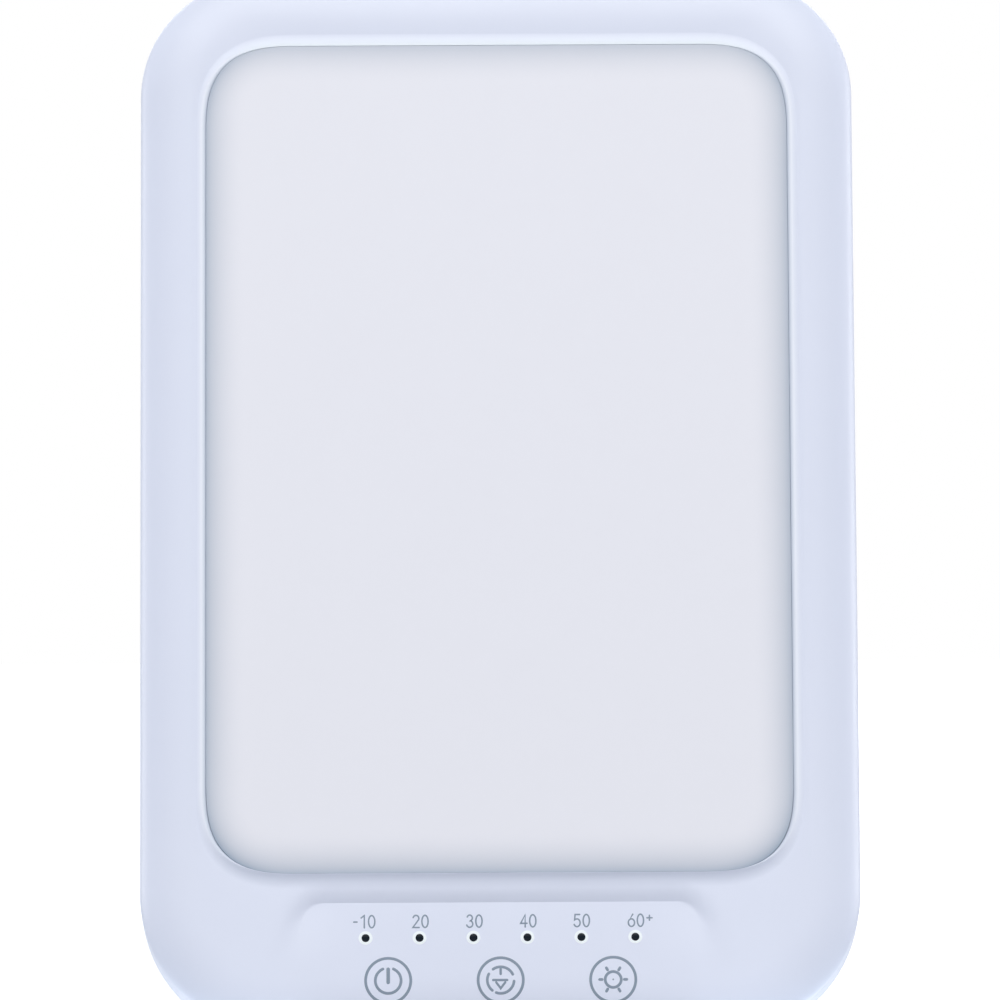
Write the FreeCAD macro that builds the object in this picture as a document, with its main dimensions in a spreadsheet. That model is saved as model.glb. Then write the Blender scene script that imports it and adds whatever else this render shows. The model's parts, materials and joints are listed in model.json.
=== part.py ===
import FreeCAD, Part
import Sketcher
import math
import os
from types import SimpleNamespace

# A light therapy lamp: a thin lit panel that leans back on a leg which folds into its back.
#
# The panel is modelled upright and then leaned back as a whole. In the panel's own frame
# X runs across, Z runs up from the bottom edge, and Y is depth with 0 at the seam between the
# front bezel and the back cover. The front faces -Y. Lengths are in millimetres.
#
# The leg is modelled folded up, with its hinge axis at the origin, and placed opened out.

os.makedirs("parts", exist_ok=True)
document = FreeCAD.newDocument("light_therapy_lamp")

# ---------------------------------------------------------------- driving dimensions

SIZES = {
    # housing
    "panel_width": 160.0,
    "panel_height": 241.0,
    "top_corner": 28.0,
    "bottom_corner": 31.0,
    "front_depth": 9.0,
    "back_depth": 13.0,
    "side_wall": 2.2,
    "face_wall": 2.6,
    "rear_wall": 2.0,
    "front_round": 5.5,
    "rear_round": 4.0,
    "inner_round": 2.5,
    "tongue_thickness": 0.9,
    "tongue_height": 1.4,
    "seam_clearance": 0.1,
    "seam_chamfer": 0.25,
    # window in the bezel and the lip round it
    "side_frame": 14.8,
    "top_frame": 17.3,
    "window_bottom": 34.5,
    "window_corner": 17.0,
    "lip_width": 2.2,
    "lip_height": 0.6,
    "lip_round": 0.5,
    # shallow ledge over the indicator lights
    "ledge_width": 88.0,
    "ledge_line": 28.2,
    "ledge_wall": 3.1,
    "ledge_floor": 5.9,
    "ledge_drop": 0.54,
    # indicator lights and touch keys
    "dot_line": 20.1,
    "dot_pitch": 11.95,
    "dot_diameter": 1.8,
    "dot_clearance": 0.05,
    "lens_bar_height": 3.0,
    "lens_bar_end": 3.0,
    "lens_bar_thickness": 1.2,
    "key_line": 10.7,
    "key_pitch": 24.9,
    "touch_pad_diameter": 7.0,
    # light stack, from the bezel's face wall to the rear
    "gasket_thickness": 0.4,
    "gasket_width": 2.8,
    "rim_overlap": 3.8,
    "rim_thickness": 2.0,
    "diffuser_wall": 2.0,
    "diffuser_crown": 0.5,
    "diffuser_rolloff": 9.0,
    "window_clearance": 0.15,
    "film_thickness": 0.3,
    "guide_thickness": 4.0,
    "guide_overlap": 1.0,
    "reflector_thickness": 0.3,
    "tray_sheet": 1.0,
    "tab_length": 8.0,
    "tab_reach": 7.6,
    "strip_thickness": 1.0,
    "strip_width": 3.6,
    "strip_end_gap": 1.0,
    "chip_length": 3.0,
    "chip_width": 1.4,
    "chip_thickness": 0.7,
    "chip_end_gap": 4.7,
    # control board and what is on it
    "board_width": 100.0,
    "board_bottom": 4.2,
    "board_height": 25.0,
    "board_thickness": 1.6,
    "board_standoff": 3.0,
    "board_screw_across_low": 47.0,
    "board_screw_line_low": 9.0,
    "board_screw_across_high": 38.0,
    "board_screw_line_high": 25.4,
    "indicator_led_side": 1.6,
    "indicator_led_thickness": 0.7,
    "connector_length": 6.0,
    "connector_height": 3.2,
    "chip_across": -8.0,
    "chip_line": 16.0,
    "chip_side": 5.0,
    "chip_height": 1.2,
    "inductor_across": -30.0,
    "inductor_line": 14.0,
    "inductor_side": 10.0,
    "inductor_height": 4.5,
    "capacitor_across": 22.0,
    "capacitor_pitch": 8.0,
    "capacitor_line": 10.5,
    "capacitor_diameter": 6.3,
    "capacitor_height": 7.7,
    "lead_diameter": 1.4,
    "lead_bend": 9.0,
    "lead_line": 24.8,
    # DC inlet
    "inlet_across": 38.0,
    "inlet_line": 16.5,
    "inlet_side": 9.0,
    "inlet_collar_diameter": 7.4,
    "inlet_collar_sunk": 0.4,
    "inlet_bore_diameter": 5.6,
    "inlet_bore_depth": 9.5,
    "inlet_pin_diameter": 2.0,
    "inlet_pin_sunk": 1.0,
    "inlet_opening_clearance": 0.2,
    # screws
    "side_screw_inset": 6.7,
    "side_screw_line": 130.0,
    "corner_screw_inset": 8.3,
    "housing_shank": 2.6,
    "housing_head": 4.4,
    "housing_head_height": 1.8,
    "housing_grip": 5.0,
    "well_diameter": 5.0,
    "well_seat": 2.4,
    "well_wall": 1.0,
    "boss_diameter": 6.4,
    "tray_screw_rise": 23.4,
    "tray_screw_fall": 25.4,
    "tray_screw_reach": 4.7,
    "small_shank": 2.2,
    "small_head": 4.2,
    "small_head_height": 1.4,
    "small_boss_diameter": 5.0,
    "small_grip": 3.6,
    "pilot_clearance": 0.5,
    "hole_clearance": 0.2,
    "drive_slot": 0.8,
    "drive_share": 0.6,
    "head_round_share": 0.33,
    # stand
    "lean_angle": 12.0,
    "opening_angle": 128.0,
    "hinge_line": 56.0,
    "hinge_depth": 9.1,
    "foot_depth": 6.0,
    "foot_drop": 1.2,
    "recess_depth": 8.0,
    "recess_wall": 1.6,
    "recess_end_gap": 1.2,
    "stop_gap": 0.3,
    "leg_width": 60.0,
    "leg_front": 3.6,
    "leg_rear": 3.8,
    "leg_skin": 2.0,
    "leg_rib": 1.8,
    "leg_corner": 8.0,
    "leg_edge_round": 0.8,
    "pin_diameter": 3.0,
    "pin_running": 0.05,
    "washer_diameter": 6.6,
    "washer_thickness": 0.8,
    "washer_running": 0.1,
    "pin_end": 1.0,
    "tip_length": 7.0,
    "tip_tongue": 2.4,
    "tip_tongue_depth": 4.0,
    "tip_front": 2.0,
    "notch_width": 24.0,
    "notch_height": 12.0,
    "notch_depth": 7.0,
    "rim_round": 0.6,
    # feet under the panel
    "pad_length": 22.0,
    "pad_across": 50.0,
    "pad_front": 1.6,
    "pad_depth": 6.0,
    "pad_corner": 2.5,
    "pad_sunk": 0.8,
    "cut_margin": 1.0,
    # vents
    "vent_width": 2.0,
    "vent_height": 16.0,
    "vent_pitch": 6.0,
    "vent_inset": 38.0,
    "vent_corner": 0.9,
}

DOTS = 6
KEYS = 3
CHIPS = 14
VENTS = 13
LEG_BAYS = 3

sheet = document.addObject("Spreadsheet::Sheet", "Sizes")
for row, (alias, number) in enumerate(SIZES.items(), start=1):
    sheet.set(f"A{row}", alias)
    sheet.set(f"B{row}", str(number))
    sheet.setAlias(f"B{row}", alias)
document.recompute()


class Size:
    """A length or an angle: its number, and the expression over the sheet that gives it."""

    def __init__(self, number, text):
        self.number = number
        self.text = text

    def __add__(self, other):
        other = as_size(other)
        return Size(self.number + other.number, f"({self.text} + {other.text})")

    def __sub__(self, other):
        other = as_size(other)
        return Size(self.number - other.number, f"({self.text} - {other.text})")

    def __mul__(self, other):
        other = as_size(other)
        return Size(self.number * other.number, f"{self.text} * {other.text}")

    def __truediv__(self, other):
        other = as_size(other)
        return Size(self.number / other.number, f"{self.text} / ({other.text})")

    def __neg__(self):
        return Size(-self.number, f"(-1 * {self.text})")

    def __rsub__(self, other):
        return as_size(other) - self

    __radd__ = __add__
    __rmul__ = __mul__


def as_size(value):
    return value if isinstance(value, Size) else Size(float(value), f"({float(value)})")


def sine(angle):
    return Size(math.sin(math.radians(angle.number)), f"sin({angle.text})")


def cosine(angle):
    return Size(math.cos(math.radians(angle.number)), f"cos({angle.text})")


def tangent(angle):
    return Size(math.tan(math.radians(angle.number)), f"tan({angle.text})")


size = SimpleNamespace(**{
    alias: Size(float(sheet.get(alias)), f"Sizes.{alias}") for alias in SIZES
})

# ---------------------------------------------------------------- helpers

SUB_PARTS = []


def new_body(name):
    """A sub-part made of PartDesign features."""
    body = document.addObject("PartDesign::Body", name)
    body.Label = name
    body.AllowCompound = True
    SUB_PARTS.append(body)
    return body


def new_sketch(body, name, plane="XZ_Plane", offset=None):
    """A sketch on one of the body's own origin planes, moved along its normal by offset."""
    sketch = body.newObject("Sketcher::SketchObject", name)
    support = next(item for item in body.Origin.OriginFeatures if item.Role == plane)
    sketch.AttachmentSupport = [(support, "")]
    sketch.MapMode = "FlatFace"
    if offset is not None:
        sketch.setExpression("AttachmentOffset.Base.z", as_size(offset).text)
    return sketch


def at_depth(body, name, depth):
    """A sketch in X and Z at the given Y. The XZ plane's normal points to -Y."""
    return new_sketch(body, name, "XZ_Plane", -as_size(depth))


def hold(sketch, kind, *reference, value):
    """One dimension of a sketch, bound to an expression."""
    index = sketch.addConstraint(Sketcher.Constraint(kind, *reference, value.number))
    sketch.setExpression(f"Constraints[{index}]", value.text)


def hold_point(sketch, geometry, point, across, up):
    hold(sketch, "DistanceX", geometry, point, value=as_size(across))
    hold(sketch, "DistanceY", geometry, point, value=as_size(up))


def polygon(sketch, corners):
    """A closed outline of straight lines through the corners."""
    corners = [(as_size(across), as_size(up)) for across, up in corners]
    points = [FreeCAD.Vector(across.number, up.number, 0) for across, up in corners]
    count = len(points)
    first = sketch.GeometryCount
    lines = [Part.LineSegment(points[i], points[(i + 1) % count]) for i in range(count)]
    sketch.addGeometry(lines)
    for i in range(count):
        following = first + (i + 1) % count
        sketch.addConstraint(Sketcher.Constraint("Coincident", first + i, 2, following, 1))
    for i, (across, up) in enumerate(corners):
        hold_point(sketch, first + i, 1, across, up)


def rectangle(sketch, left, right, bottom, top):
    polygon(sketch, [(left, bottom), (right, bottom), (right, top), (left, top)])


def circle(sketch, across, up, diameter):
    across, up, diameter = as_size(across), as_size(up), as_size(diameter)
    centre = FreeCAD.Vector(across.number, up.number, 0)
    normal = FreeCAD.Vector(0, 0, 1)
    index = sketch.addGeometry(Part.Circle(centre, normal, diameter.number / 2))
    hold(sketch, "Diameter", index, value=diameter)
    hold_point(sketch, index, 3, across, up)


def rounded(sketch, half, bottom, top, low_radius, high_radius, middle=0):
    """A rectangle about a middle line with round corners, one radius below and one above."""
    half, bottom, top = as_size(half), as_size(bottom), as_size(top)
    low, high = as_size(low_radius), as_size(high_radius)
    corners = [
        (half - low + middle, bottom + low, low),
        (half - high + middle, top - high, high),
        (high - half + middle, top - high, high),
        (low - half + middle, bottom + low, low),
    ]
    quarter = math.pi / 2
    arcs = []
    for i, (across, up, radius) in enumerate(corners):
        centre = FreeCAD.Vector(across.number, up.number, 0)
        round_corner = Part.Circle(centre, FreeCAD.Vector(0, 0, 1), radius.number)
        arcs.append(Part.ArcOfCircle(round_corner, quarter * (i - 1), quarter * i))
    lines = [Part.LineSegment(arcs[i - 1].EndPoint, arcs[i].StartPoint) for i in range(4)]
    first = sketch.GeometryCount
    sketch.addGeometry(lines + arcs)
    for i, (across, up, radius) in enumerate(corners):
        line, arc, following = first + i, first + 4 + i, first + (i + 1) % 4
        sketch.addConstraint(Sketcher.Constraint("Tangent", line, 2, arc, 1))
        sketch.addConstraint(Sketcher.Constraint("Tangent", arc, 2, following, 1))
        hold_point(sketch, arc, 3, across, up)
        hold(sketch, "Radius", arc, value=radius)


def pad(body, sketch, length, reverse=False, symmetric=False):
    """Material along the sketch's normal, or against it when reversed."""
    feature = body.newObject("PartDesign::Pad", sketch.Name + "_pad")
    feature.Profile = sketch
    feature.setExpression("Length", as_size(length).text)
    feature.Reversed = reverse
    if symmetric:
        feature.SideType = "Symmetric"
    document.recompute()
    return feature


def pocket(body, sketch, length, reverse=False, symmetric=False):
    """A cut against the sketch's normal, or along it when reversed."""
    before = body.Shape.Volume
    feature = body.newObject("PartDesign::Pocket", sketch.Name + "_pocket")
    feature.Profile = sketch
    feature.setExpression("Length", as_size(length).text)
    feature.Reversed = reverse
    if symmetric:
        feature.SideType = "Symmetric"
    document.recompute()
    if not body.Shape.Volume < before:
        raise RuntimeError(f"{feature.Name} cuts nothing")
    return feature


def edges_at(feature, depth, wanted=lambda box: True):
    """Names of the feature's edges that lie flat at this Y and whose box is a wanted one."""
    names = []
    level = as_size(depth).number
    for number, edge in enumerate(feature.Shape.Edges, start=1):
        box = edge.BoundBox
        flat = abs(box.YMin - level) < 1e-4 and abs(box.YMax - level) < 1e-4
        if flat and wanted(box):
            names.append(f"Edge{number}")
    return names


def fillet(body, feature, edges, radius):
    rounding = body.newObject("PartDesign::Fillet", feature.Name + "_fillet")
    rounding.Base = (feature, edges)
    rounding.setExpression("Radius", as_size(radius).text)
    document.recompute()
    return rounding


def chamfer(body, feature, edges, width):
    slope = body.newObject("PartDesign::Chamfer", feature.Name + "_chamfer")
    slope.Base = (feature, edges)
    slope.setExpression("Size", as_size(width).text)
    document.recompute()
    return slope


def row_of(body, feature, axis, pitch, count):
    """The feature repeated along its sketch's H_Axis or V_Axis, count times in all."""
    pattern = body.newObject("PartDesign::LinearPattern", feature.Name + "_row")
    pattern.Originals = [feature]
    pattern.Direction = (feature.Profile[0], [axis])
    pattern.setExpression("Length", (pitch * (count - 1)).text)
    pattern.Occurrences = count
    body.Tip = pattern
    document.recompute()
    return pattern


# ---------------------------------------------------------------- places shared by pieces

half_width = size.panel_width / 2

# depths (Y) of the stack, front to rear
face = -size.front_depth
face_inside = face + size.face_wall
rim_front = face_inside + size.gasket_thickness
rim_rear = rim_front + size.rim_thickness
film_rear = rim_rear + size.film_thickness
guide_rear = film_rear + size.guide_thickness
reflector_rear = guide_rear + size.reflector_thickness
tray_rear = reflector_rear + size.tray_sheet
board_front = face_inside + size.board_standoff
board_rear = board_front + size.board_thickness
cover_inside = size.back_depth - size.rear_wall
recess_floor = size.back_depth - size.recess_depth

# the window
window_half = half_width - size.side_frame
window_top = size.panel_height - size.top_frame
guide_middle = film_rear + size.guide_thickness / 2

# tray and strips
tray_half = window_half + size.rim_overlap
tray_inner_half = tray_half - size.tray_sheet
strip_inner = tray_inner_half - size.strip_thickness
chip_inner = strip_inner - size.chip_thickness
strip_low = size.window_bottom + size.window_corner + size.strip_end_gap
strip_high = window_top - size.window_corner - size.strip_end_gap
chip_lowest = strip_low + size.chip_end_gap
chip_pitch = (strip_high - size.chip_end_gap - size.chip_length - chip_lowest) / (CHIPS - 1)

# screws that close the housing: two in the top corners, two half-way up, two in the bottom
diagonal = math.sqrt(0.5)
side_screw = half_width - size.side_screw_inset
top_centre = half_width - size.top_corner
bottom_centre = half_width - size.bottom_corner
top_reach = (size.top_corner - size.corner_screw_inset) * diagonal
bottom_reach = (size.bottom_corner - size.corner_screw_inset) * diagonal
HOUSING_SCREWS = []
for side in (-1, 1):
    HOUSING_SCREWS.append(((top_centre + top_reach) * side,
                           size.panel_height - size.top_corner + top_reach))
    HOUSING_SCREWS.append((side_screw * side, size.side_screw_line))
    HOUSING_SCREWS.append(((bottom_centre + bottom_reach) * side,
                           size.bottom_corner - bottom_reach))

tray_screw_lines = (size.window_bottom + size.tray_screw_rise, window_top - size.tray_screw_fall)
TRAY_SCREWS = []
BOARD_SCREWS = []
for side in (-1, 1):
    for line in tray_screw_lines:
        TRAY_SCREWS.append(((tray_half + size.tray_screw_reach) * side, line))
    BOARD_SCREWS.append((size.board_screw_across_low * side, size.board_screw_line_low))
    BOARD_SCREWS.append((size.board_screw_across_high * side, size.board_screw_line_high))

dot_places = [size.dot_pitch * (i - (DOTS - 1) / 2) for i in range(DOTS)]
key_places = [size.key_pitch * (i - (KEYS - 1) / 2) for i in range(KEYS)]

# stand: the rear foot touches the ground on the leg's middle plane, this far from the hinge
leg_slope = 180 - size.opening_angle
hinge_above_foot = size.hinge_line + size.foot_drop
hinge_behind_foot = size.hinge_depth - size.foot_depth
leg_reach = (
    (hinge_above_foot - hinge_behind_foot * tangent(size.lean_angle))
    / (cosine(leg_slope) + sine(leg_slope) * tangent(size.lean_angle))
)
# in the leg's folded frame the ground is a plane through (0, leg_reach) with this slope
ground_turn = size.opening_angle + size.lean_angle
ground_fall = -sine(ground_turn) / cosine(ground_turn)
tip_high = leg_reach + size.tip_front * ground_fall
leg_end = leg_reach - size.tip_length
leg_half = size.leg_width / 2
recess_width = size.leg_width + (size.washer_thickness + size.washer_running) * 2
recess_top = size.hinge_line + tip_high + size.recess_end_gap


def stop_line(depth):
    """Height at this Y of the flat that the opened leg's rear face comes to rest against."""
    offset = size.leg_rear + size.stop_gap
    across = cosine(size.opening_angle) * (as_size(depth) - size.hinge_depth)
    return size.hinge_line + (across - offset) / sine(size.opening_angle)


def ground_line(depth):
    """Height at this Y of the ground, in the leaning panel's own frame."""
    return (as_size(depth) - size.foot_depth) * tangent(size.lean_angle) - size.foot_drop


def housing_outline(sketch, inset):
    inset = as_size(inset)
    rounded(sketch, half_width - inset, inset, size.panel_height - inset,
            size.bottom_corner - inset, size.top_corner - inset)


def window_outline(sketch, growth):
    growth = as_size(growth)
    corner = size.window_corner + growth
    rounded(sketch, window_half + growth, size.window_bottom - growth, window_top + growth,
            corner, corner)


def circles(sketch, places, diameter):
    for across, up in places:
        circle(sketch, across, up, diameter)


# ---------------------------------------------------------------- housing

def front_bezel():
    body = new_body("front_bezel")
    sketch = at_depth(body, "bezel_outline", 0)
    housing_outline(sketch, 0)
    shell = pad(body, sketch, size.front_depth)
    shell = fillet(body, shell, edges_at(shell, face), size.front_round)
    chamfer(body, shell, edges_at(shell, 0), size.seam_chamfer)

    sketch = at_depth(body, "bezel_cavity", 0)
    housing_outline(sketch, size.side_wall)
    cavity = pocket(body, sketch, size.front_depth - size.face_wall, reverse=True)
    fillet(body, cavity, edges_at(cavity, face_inside), size.inner_round)

    sketch = at_depth(body, "bezel_rabbet", 0)
    housing_outline(sketch, size.side_wall - size.tongue_thickness - size.seam_clearance)
    pocket(body, sketch, size.tongue_height + size.seam_clearance, reverse=True)

    sketch = at_depth(body, "lip", face)
    window_outline(sketch, size.lip_width)
    pad(body, sketch, size.lip_height)
    sketch = at_depth(body, "window", face - size.lip_height)
    window_outline(sketch, 0)
    window = pocket(body, sketch, size.face_wall + size.lip_height)
    fillet(body, window, edges_at(window, face - size.lip_height), size.lip_round)

    sketch = new_sketch(body, "ledge", "YZ_Plane")
    above = size.lip_height
    low = size.ledge_line - size.ledge_floor
    high = size.ledge_line + size.ledge_wall
    polygon(sketch, [
        (face - above, low),
        (face, low),
        (face + size.ledge_drop, size.ledge_line),
        (face, high),
        (face - above, high),
    ])
    pocket(body, sketch, size.ledge_width, symmetric=True)

    boss_places = [
        ("screw_bosses", HOUSING_SCREWS, size.boss_diameter, 0),
        ("tray_bosses", TRAY_SCREWS, size.boss_diameter, reflector_rear),
        ("board_bosses", BOARD_SCREWS, size.small_boss_diameter, board_front),
    ]
    for name, places, diameter, top in boss_places:
        sketch = at_depth(body, name, face_inside)
        circles(sketch, places, diameter)
        pad(body, sketch, as_size(top) - face_inside, reverse=True)

    pilots = [
        ("screw_pilots", HOUSING_SCREWS, size.housing_shank, 0, size.housing_grip),
        ("tray_pilots", TRAY_SCREWS, size.small_shank, reflector_rear, size.small_grip),
        ("board_pilots", BOARD_SCREWS, size.small_shank, board_front, size.small_grip),
    ]
    for name, places, diameter, top, grip in pilots:
        sketch = at_depth(body, name, top)
        circles(sketch, places, diameter)
        pocket(body, sketch, grip + size.pilot_clearance, reverse=True)

    sketch = at_depth(body, "dot_holes", face)
    places = [(across, size.dot_line) for across in dot_places]
    circles(sketch, places, size.dot_diameter + size.dot_clearance * 2)
    pocket(body, sketch, size.face_wall)


def back_cover():
    body = new_body("back_cover")
    sketch = at_depth(body, "cover_outline", 0)
    housing_outline(sketch, 0)
    shell = pad(body, sketch, size.back_depth, reverse=True)
    shell = fillet(body, shell, edges_at(shell, size.back_depth), size.rear_round)
    chamfer(body, shell, edges_at(shell, 0), size.seam_chamfer)
    sketch = at_depth(body, "cover_cavity", 0)
    housing_outline(sketch, size.side_wall)
    cavity = pocket(body, sketch, cover_inside)
    fillet(body, cavity, edges_at(cavity, cover_inside), size.inner_round)

    sketch = at_depth(body, "tongue", 0)
    housing_outline(sketch, size.side_wall - size.tongue_thickness)
    housing_outline(sketch, size.side_wall)
    pad(body, sketch, size.tongue_height)

    # walls of the leg's recess and of the finger notch over it, then the two hollows
    wall = size.recess_wall
    behind = cover_inside + size.rear_wall / 2
    sketch = new_sketch(body, "recess_walls", "YZ_Plane")
    polygon(sketch, [
        (recess_floor - wall, stop_line(recess_floor) - wall),
        (behind, stop_line(behind) - wall * 2),
        (behind, recess_top + wall),
        (recess_floor - wall, recess_top + wall),
    ])
    pad(body, sketch, recess_width + wall * 2, symmetric=True)
    notch_floor = size.back_depth - size.notch_depth
    notch_top = recess_top + size.notch_height
    sketch = new_sketch(body, "notch_walls", "YZ_Plane")
    rectangle(sketch, notch_floor - wall, behind, recess_top, notch_top + wall)
    pad(body, sketch, size.notch_width + wall * 2, symmetric=True)
    beyond = size.back_depth + size.rear_wall
    sketch = new_sketch(body, "recess", "YZ_Plane")
    polygon(sketch, [
        (recess_floor, stop_line(recess_floor)),
        (beyond, stop_line(beyond)),
        (beyond, recess_top),
        (recess_floor, recess_top),
    ])
    pocket(body, sketch, recess_width, symmetric=True)
    sketch = new_sketch(body, "notch", "YZ_Plane")
    rectangle(sketch, notch_floor, beyond, recess_top - wall, notch_top)
    hollow = pocket(body, sketch, size.notch_width, symmetric=True)
    recess_half = (recess_width / 2).number
    rim = edges_at(hollow, size.back_depth, lambda box: box.XMax < recess_half + 1
                   and box.XMin > -recess_half - 1)
    fillet(body, hollow, rim, size.rim_round)

    sketch = new_sketch(body, "pin_holes", "YZ_Plane")
    circle(sketch, size.hinge_depth, size.hinge_line, size.pin_diameter)
    pocket(body, sketch, recess_width + wall * 4, symmetric=True)

    # columns for the housing screws, with wells for their heads
    sketch = at_depth(body, "columns", 0)
    circles(sketch, HOUSING_SCREWS, size.well_diameter + size.well_wall * 2)
    pad(body, sketch, behind, reverse=True)
    sketch = at_depth(body, "wells", size.back_depth)
    circles(sketch, HOUSING_SCREWS, size.well_diameter)
    pocket(body, sketch, size.back_depth - size.well_seat, reverse=True)
    sketch = at_depth(body, "screw_holes", size.well_seat)
    circles(sketch, HOUSING_SCREWS, size.housing_shank + size.hole_clearance)
    pocket(body, sketch, size.well_seat, reverse=True)

    sketch = at_depth(body, "inlet_hole", size.back_depth)
    collar = size.inlet_collar_diameter + size.inlet_opening_clearance * 2
    circle(sketch, size.inlet_across, size.inlet_line, collar)
    pocket(body, sketch, size.rear_wall, reverse=True)

    sketch = new_sketch(body, "pad_seats", "XY_Plane")
    pad_outlines(sketch)
    pocket(body, sketch, size.pad_sunk, reverse=True)

    sketch = at_depth(body, "vents", size.back_depth)
    half = size.vent_height / 2
    vent_line = size.panel_height - size.vent_inset
    rounded(sketch, size.vent_width / 2, vent_line - half, vent_line + half,
            size.vent_corner, size.vent_corner, size.vent_pitch * (1 - VENTS) / 2)
    vent = pocket(body, sketch, size.rear_wall, reverse=True)
    row_of(body, vent, "H_Axis", size.vent_pitch, VENTS)


def pad_outlines(sketch):
    for side in (-1, 1):
        rounded(sketch, size.pad_length / 2, size.pad_front, size.pad_front + size.pad_depth,
                size.pad_corner, size.pad_corner, size.pad_across * side)


def base_feet():
    """Two rubber pads whose undersides lie on the ground."""
    body = new_body("base_feet")
    sketch = new_sketch(body, "foot_outlines", "XY_Plane", size.pad_sunk)
    pad_outlines(sketch)
    front = size.pad_front - size.cut_margin
    rear = size.pad_front + size.pad_depth + size.cut_margin
    lowest = ground_line(front) - size.cut_margin
    pad(body, sketch, size.pad_sunk - lowest, reverse=True)
    sketch = new_sketch(body, "ground_cut", "YZ_Plane")
    polygon(sketch, [
        (front, lowest - size.cut_margin),
        (rear, lowest - size.cut_margin),
        (rear, ground_line(rear)),
        (front, ground_line(front)),
    ])
    pocket(body, sketch, size.panel_width, symmetric=True)


# ---------------------------------------------------------------- light stack

def diffuser_panel():
    """A moulded dish: its edge is level with the bezel's face and its middle swells over it."""
    body = new_body("diffuser_panel")
    sketch = at_depth(body, "diffuser_rim", rim_rear)
    window_outline(sketch, size.rim_overlap)
    pad(body, sketch, size.rim_thickness)
    sketch = at_depth(body, "diffuser_dish", rim_front)
    window_outline(sketch, -size.window_clearance)
    pad(body, sketch, rim_front - face)
    crown = body.newObject("PartDesign::AdditiveLoft", "diffuser_crown_loft")
    low = at_depth(body, "crown_low", face)
    window_outline(low, -size.window_clearance)
    high = at_depth(body, "crown_high", face - size.diffuser_crown)
    window_outline(high, -size.window_clearance - size.diffuser_rolloff)
    crown.Profile = low
    crown.Sections = [high]
    document.recompute()
    sketch = at_depth(body, "dish_hollow", rim_rear)
    window_outline(sketch, -size.window_clearance - size.diffuser_wall)
    pocket(body, sketch, rim_rear - face - size.diffuser_wall, reverse=True)


def window_sheet(name, front, thickness, growth):
    """A flat sheet with the window's outline grown by growth."""
    body = new_body(name)
    sketch = at_depth(body, name + "_outline", front)
    window_outline(sketch, growth)
    pad(body, sketch, thickness, reverse=True)
    return body


def diffuser_gasket():
    body = new_body("diffuser_gasket")
    sketch = at_depth(body, "gasket_ring", face_inside)
    inner = size.rim_overlap - size.gasket_width
    window_outline(sketch, size.rim_overlap)
    window_outline(sketch, inner)
    pad(body, sketch, size.gasket_thickness, reverse=True)


def led_tray():
    """Aluminium tray: holds the light guide and its strips, and takes their heat."""
    body = new_body("led_tray")
    sketch = at_depth(body, "tray_outline", rim_rear)
    window_outline(sketch, size.rim_overlap)
    pad(body, sketch, tray_rear - rim_rear, reverse=True)
    sketch = at_depth(body, "tray_inside", rim_rear)
    window_outline(sketch, size.rim_overlap - size.tray_sheet)
    pocket(body, sketch, reflector_rear - rim_rear)
    sketch = at_depth(body, "tray_tabs", reflector_rear)
    for side in (-1, 1):
        for line in tray_screw_lines:
            ends = [tray_inner_half * side, (tray_half + size.tab_reach) * side]
            rectangle(sketch, *ends[::side], line - size.tab_length / 2,
                      line + size.tab_length / 2)
    pad(body, sketch, size.tray_sheet, reverse=True)
    sketch = at_depth(body, "tab_holes", reflector_rear)
    circles(sketch, TRAY_SCREWS, size.small_shank + size.hole_clearance)
    pocket(body, sketch, size.tray_sheet)
    # notches in the lower corners that let the strips' leads out
    sketch = at_depth(body, "lead_notches", rim_rear)
    lead_across = strip_inner + size.strip_thickness / 2
    for side in (-1, 1):
        middle = lead_across * side
        rectangle(sketch, middle - size.lead_diameter, middle + size.lead_diameter,
                  size.window_bottom, strip_low)
    pocket(body, sketch, guide_rear - rim_rear)


def led_strip(name, side):
    body = new_body(name)
    sketch = at_depth(body, name + "_board", guide_middle - size.strip_width / 2)
    ends = [strip_inner * side, tray_inner_half * side]
    rectangle(sketch, *ends[::side], strip_low, strip_high)
    pad(body, sketch, size.strip_width, reverse=True)


def led_chips():
    body = new_body("led_chips")
    sketch = at_depth(body, "chips", guide_middle - size.chip_width / 2)
    for side in (-1, 1):
        ends = [chip_inner * side, strip_inner * side]
        rectangle(sketch, *ends[::side], chip_lowest, chip_lowest + size.chip_length)
    pair = pad(body, sketch, size.chip_width, reverse=True)
    row_of(body, pair, "V_Axis", chip_pitch, CHIPS)


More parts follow.
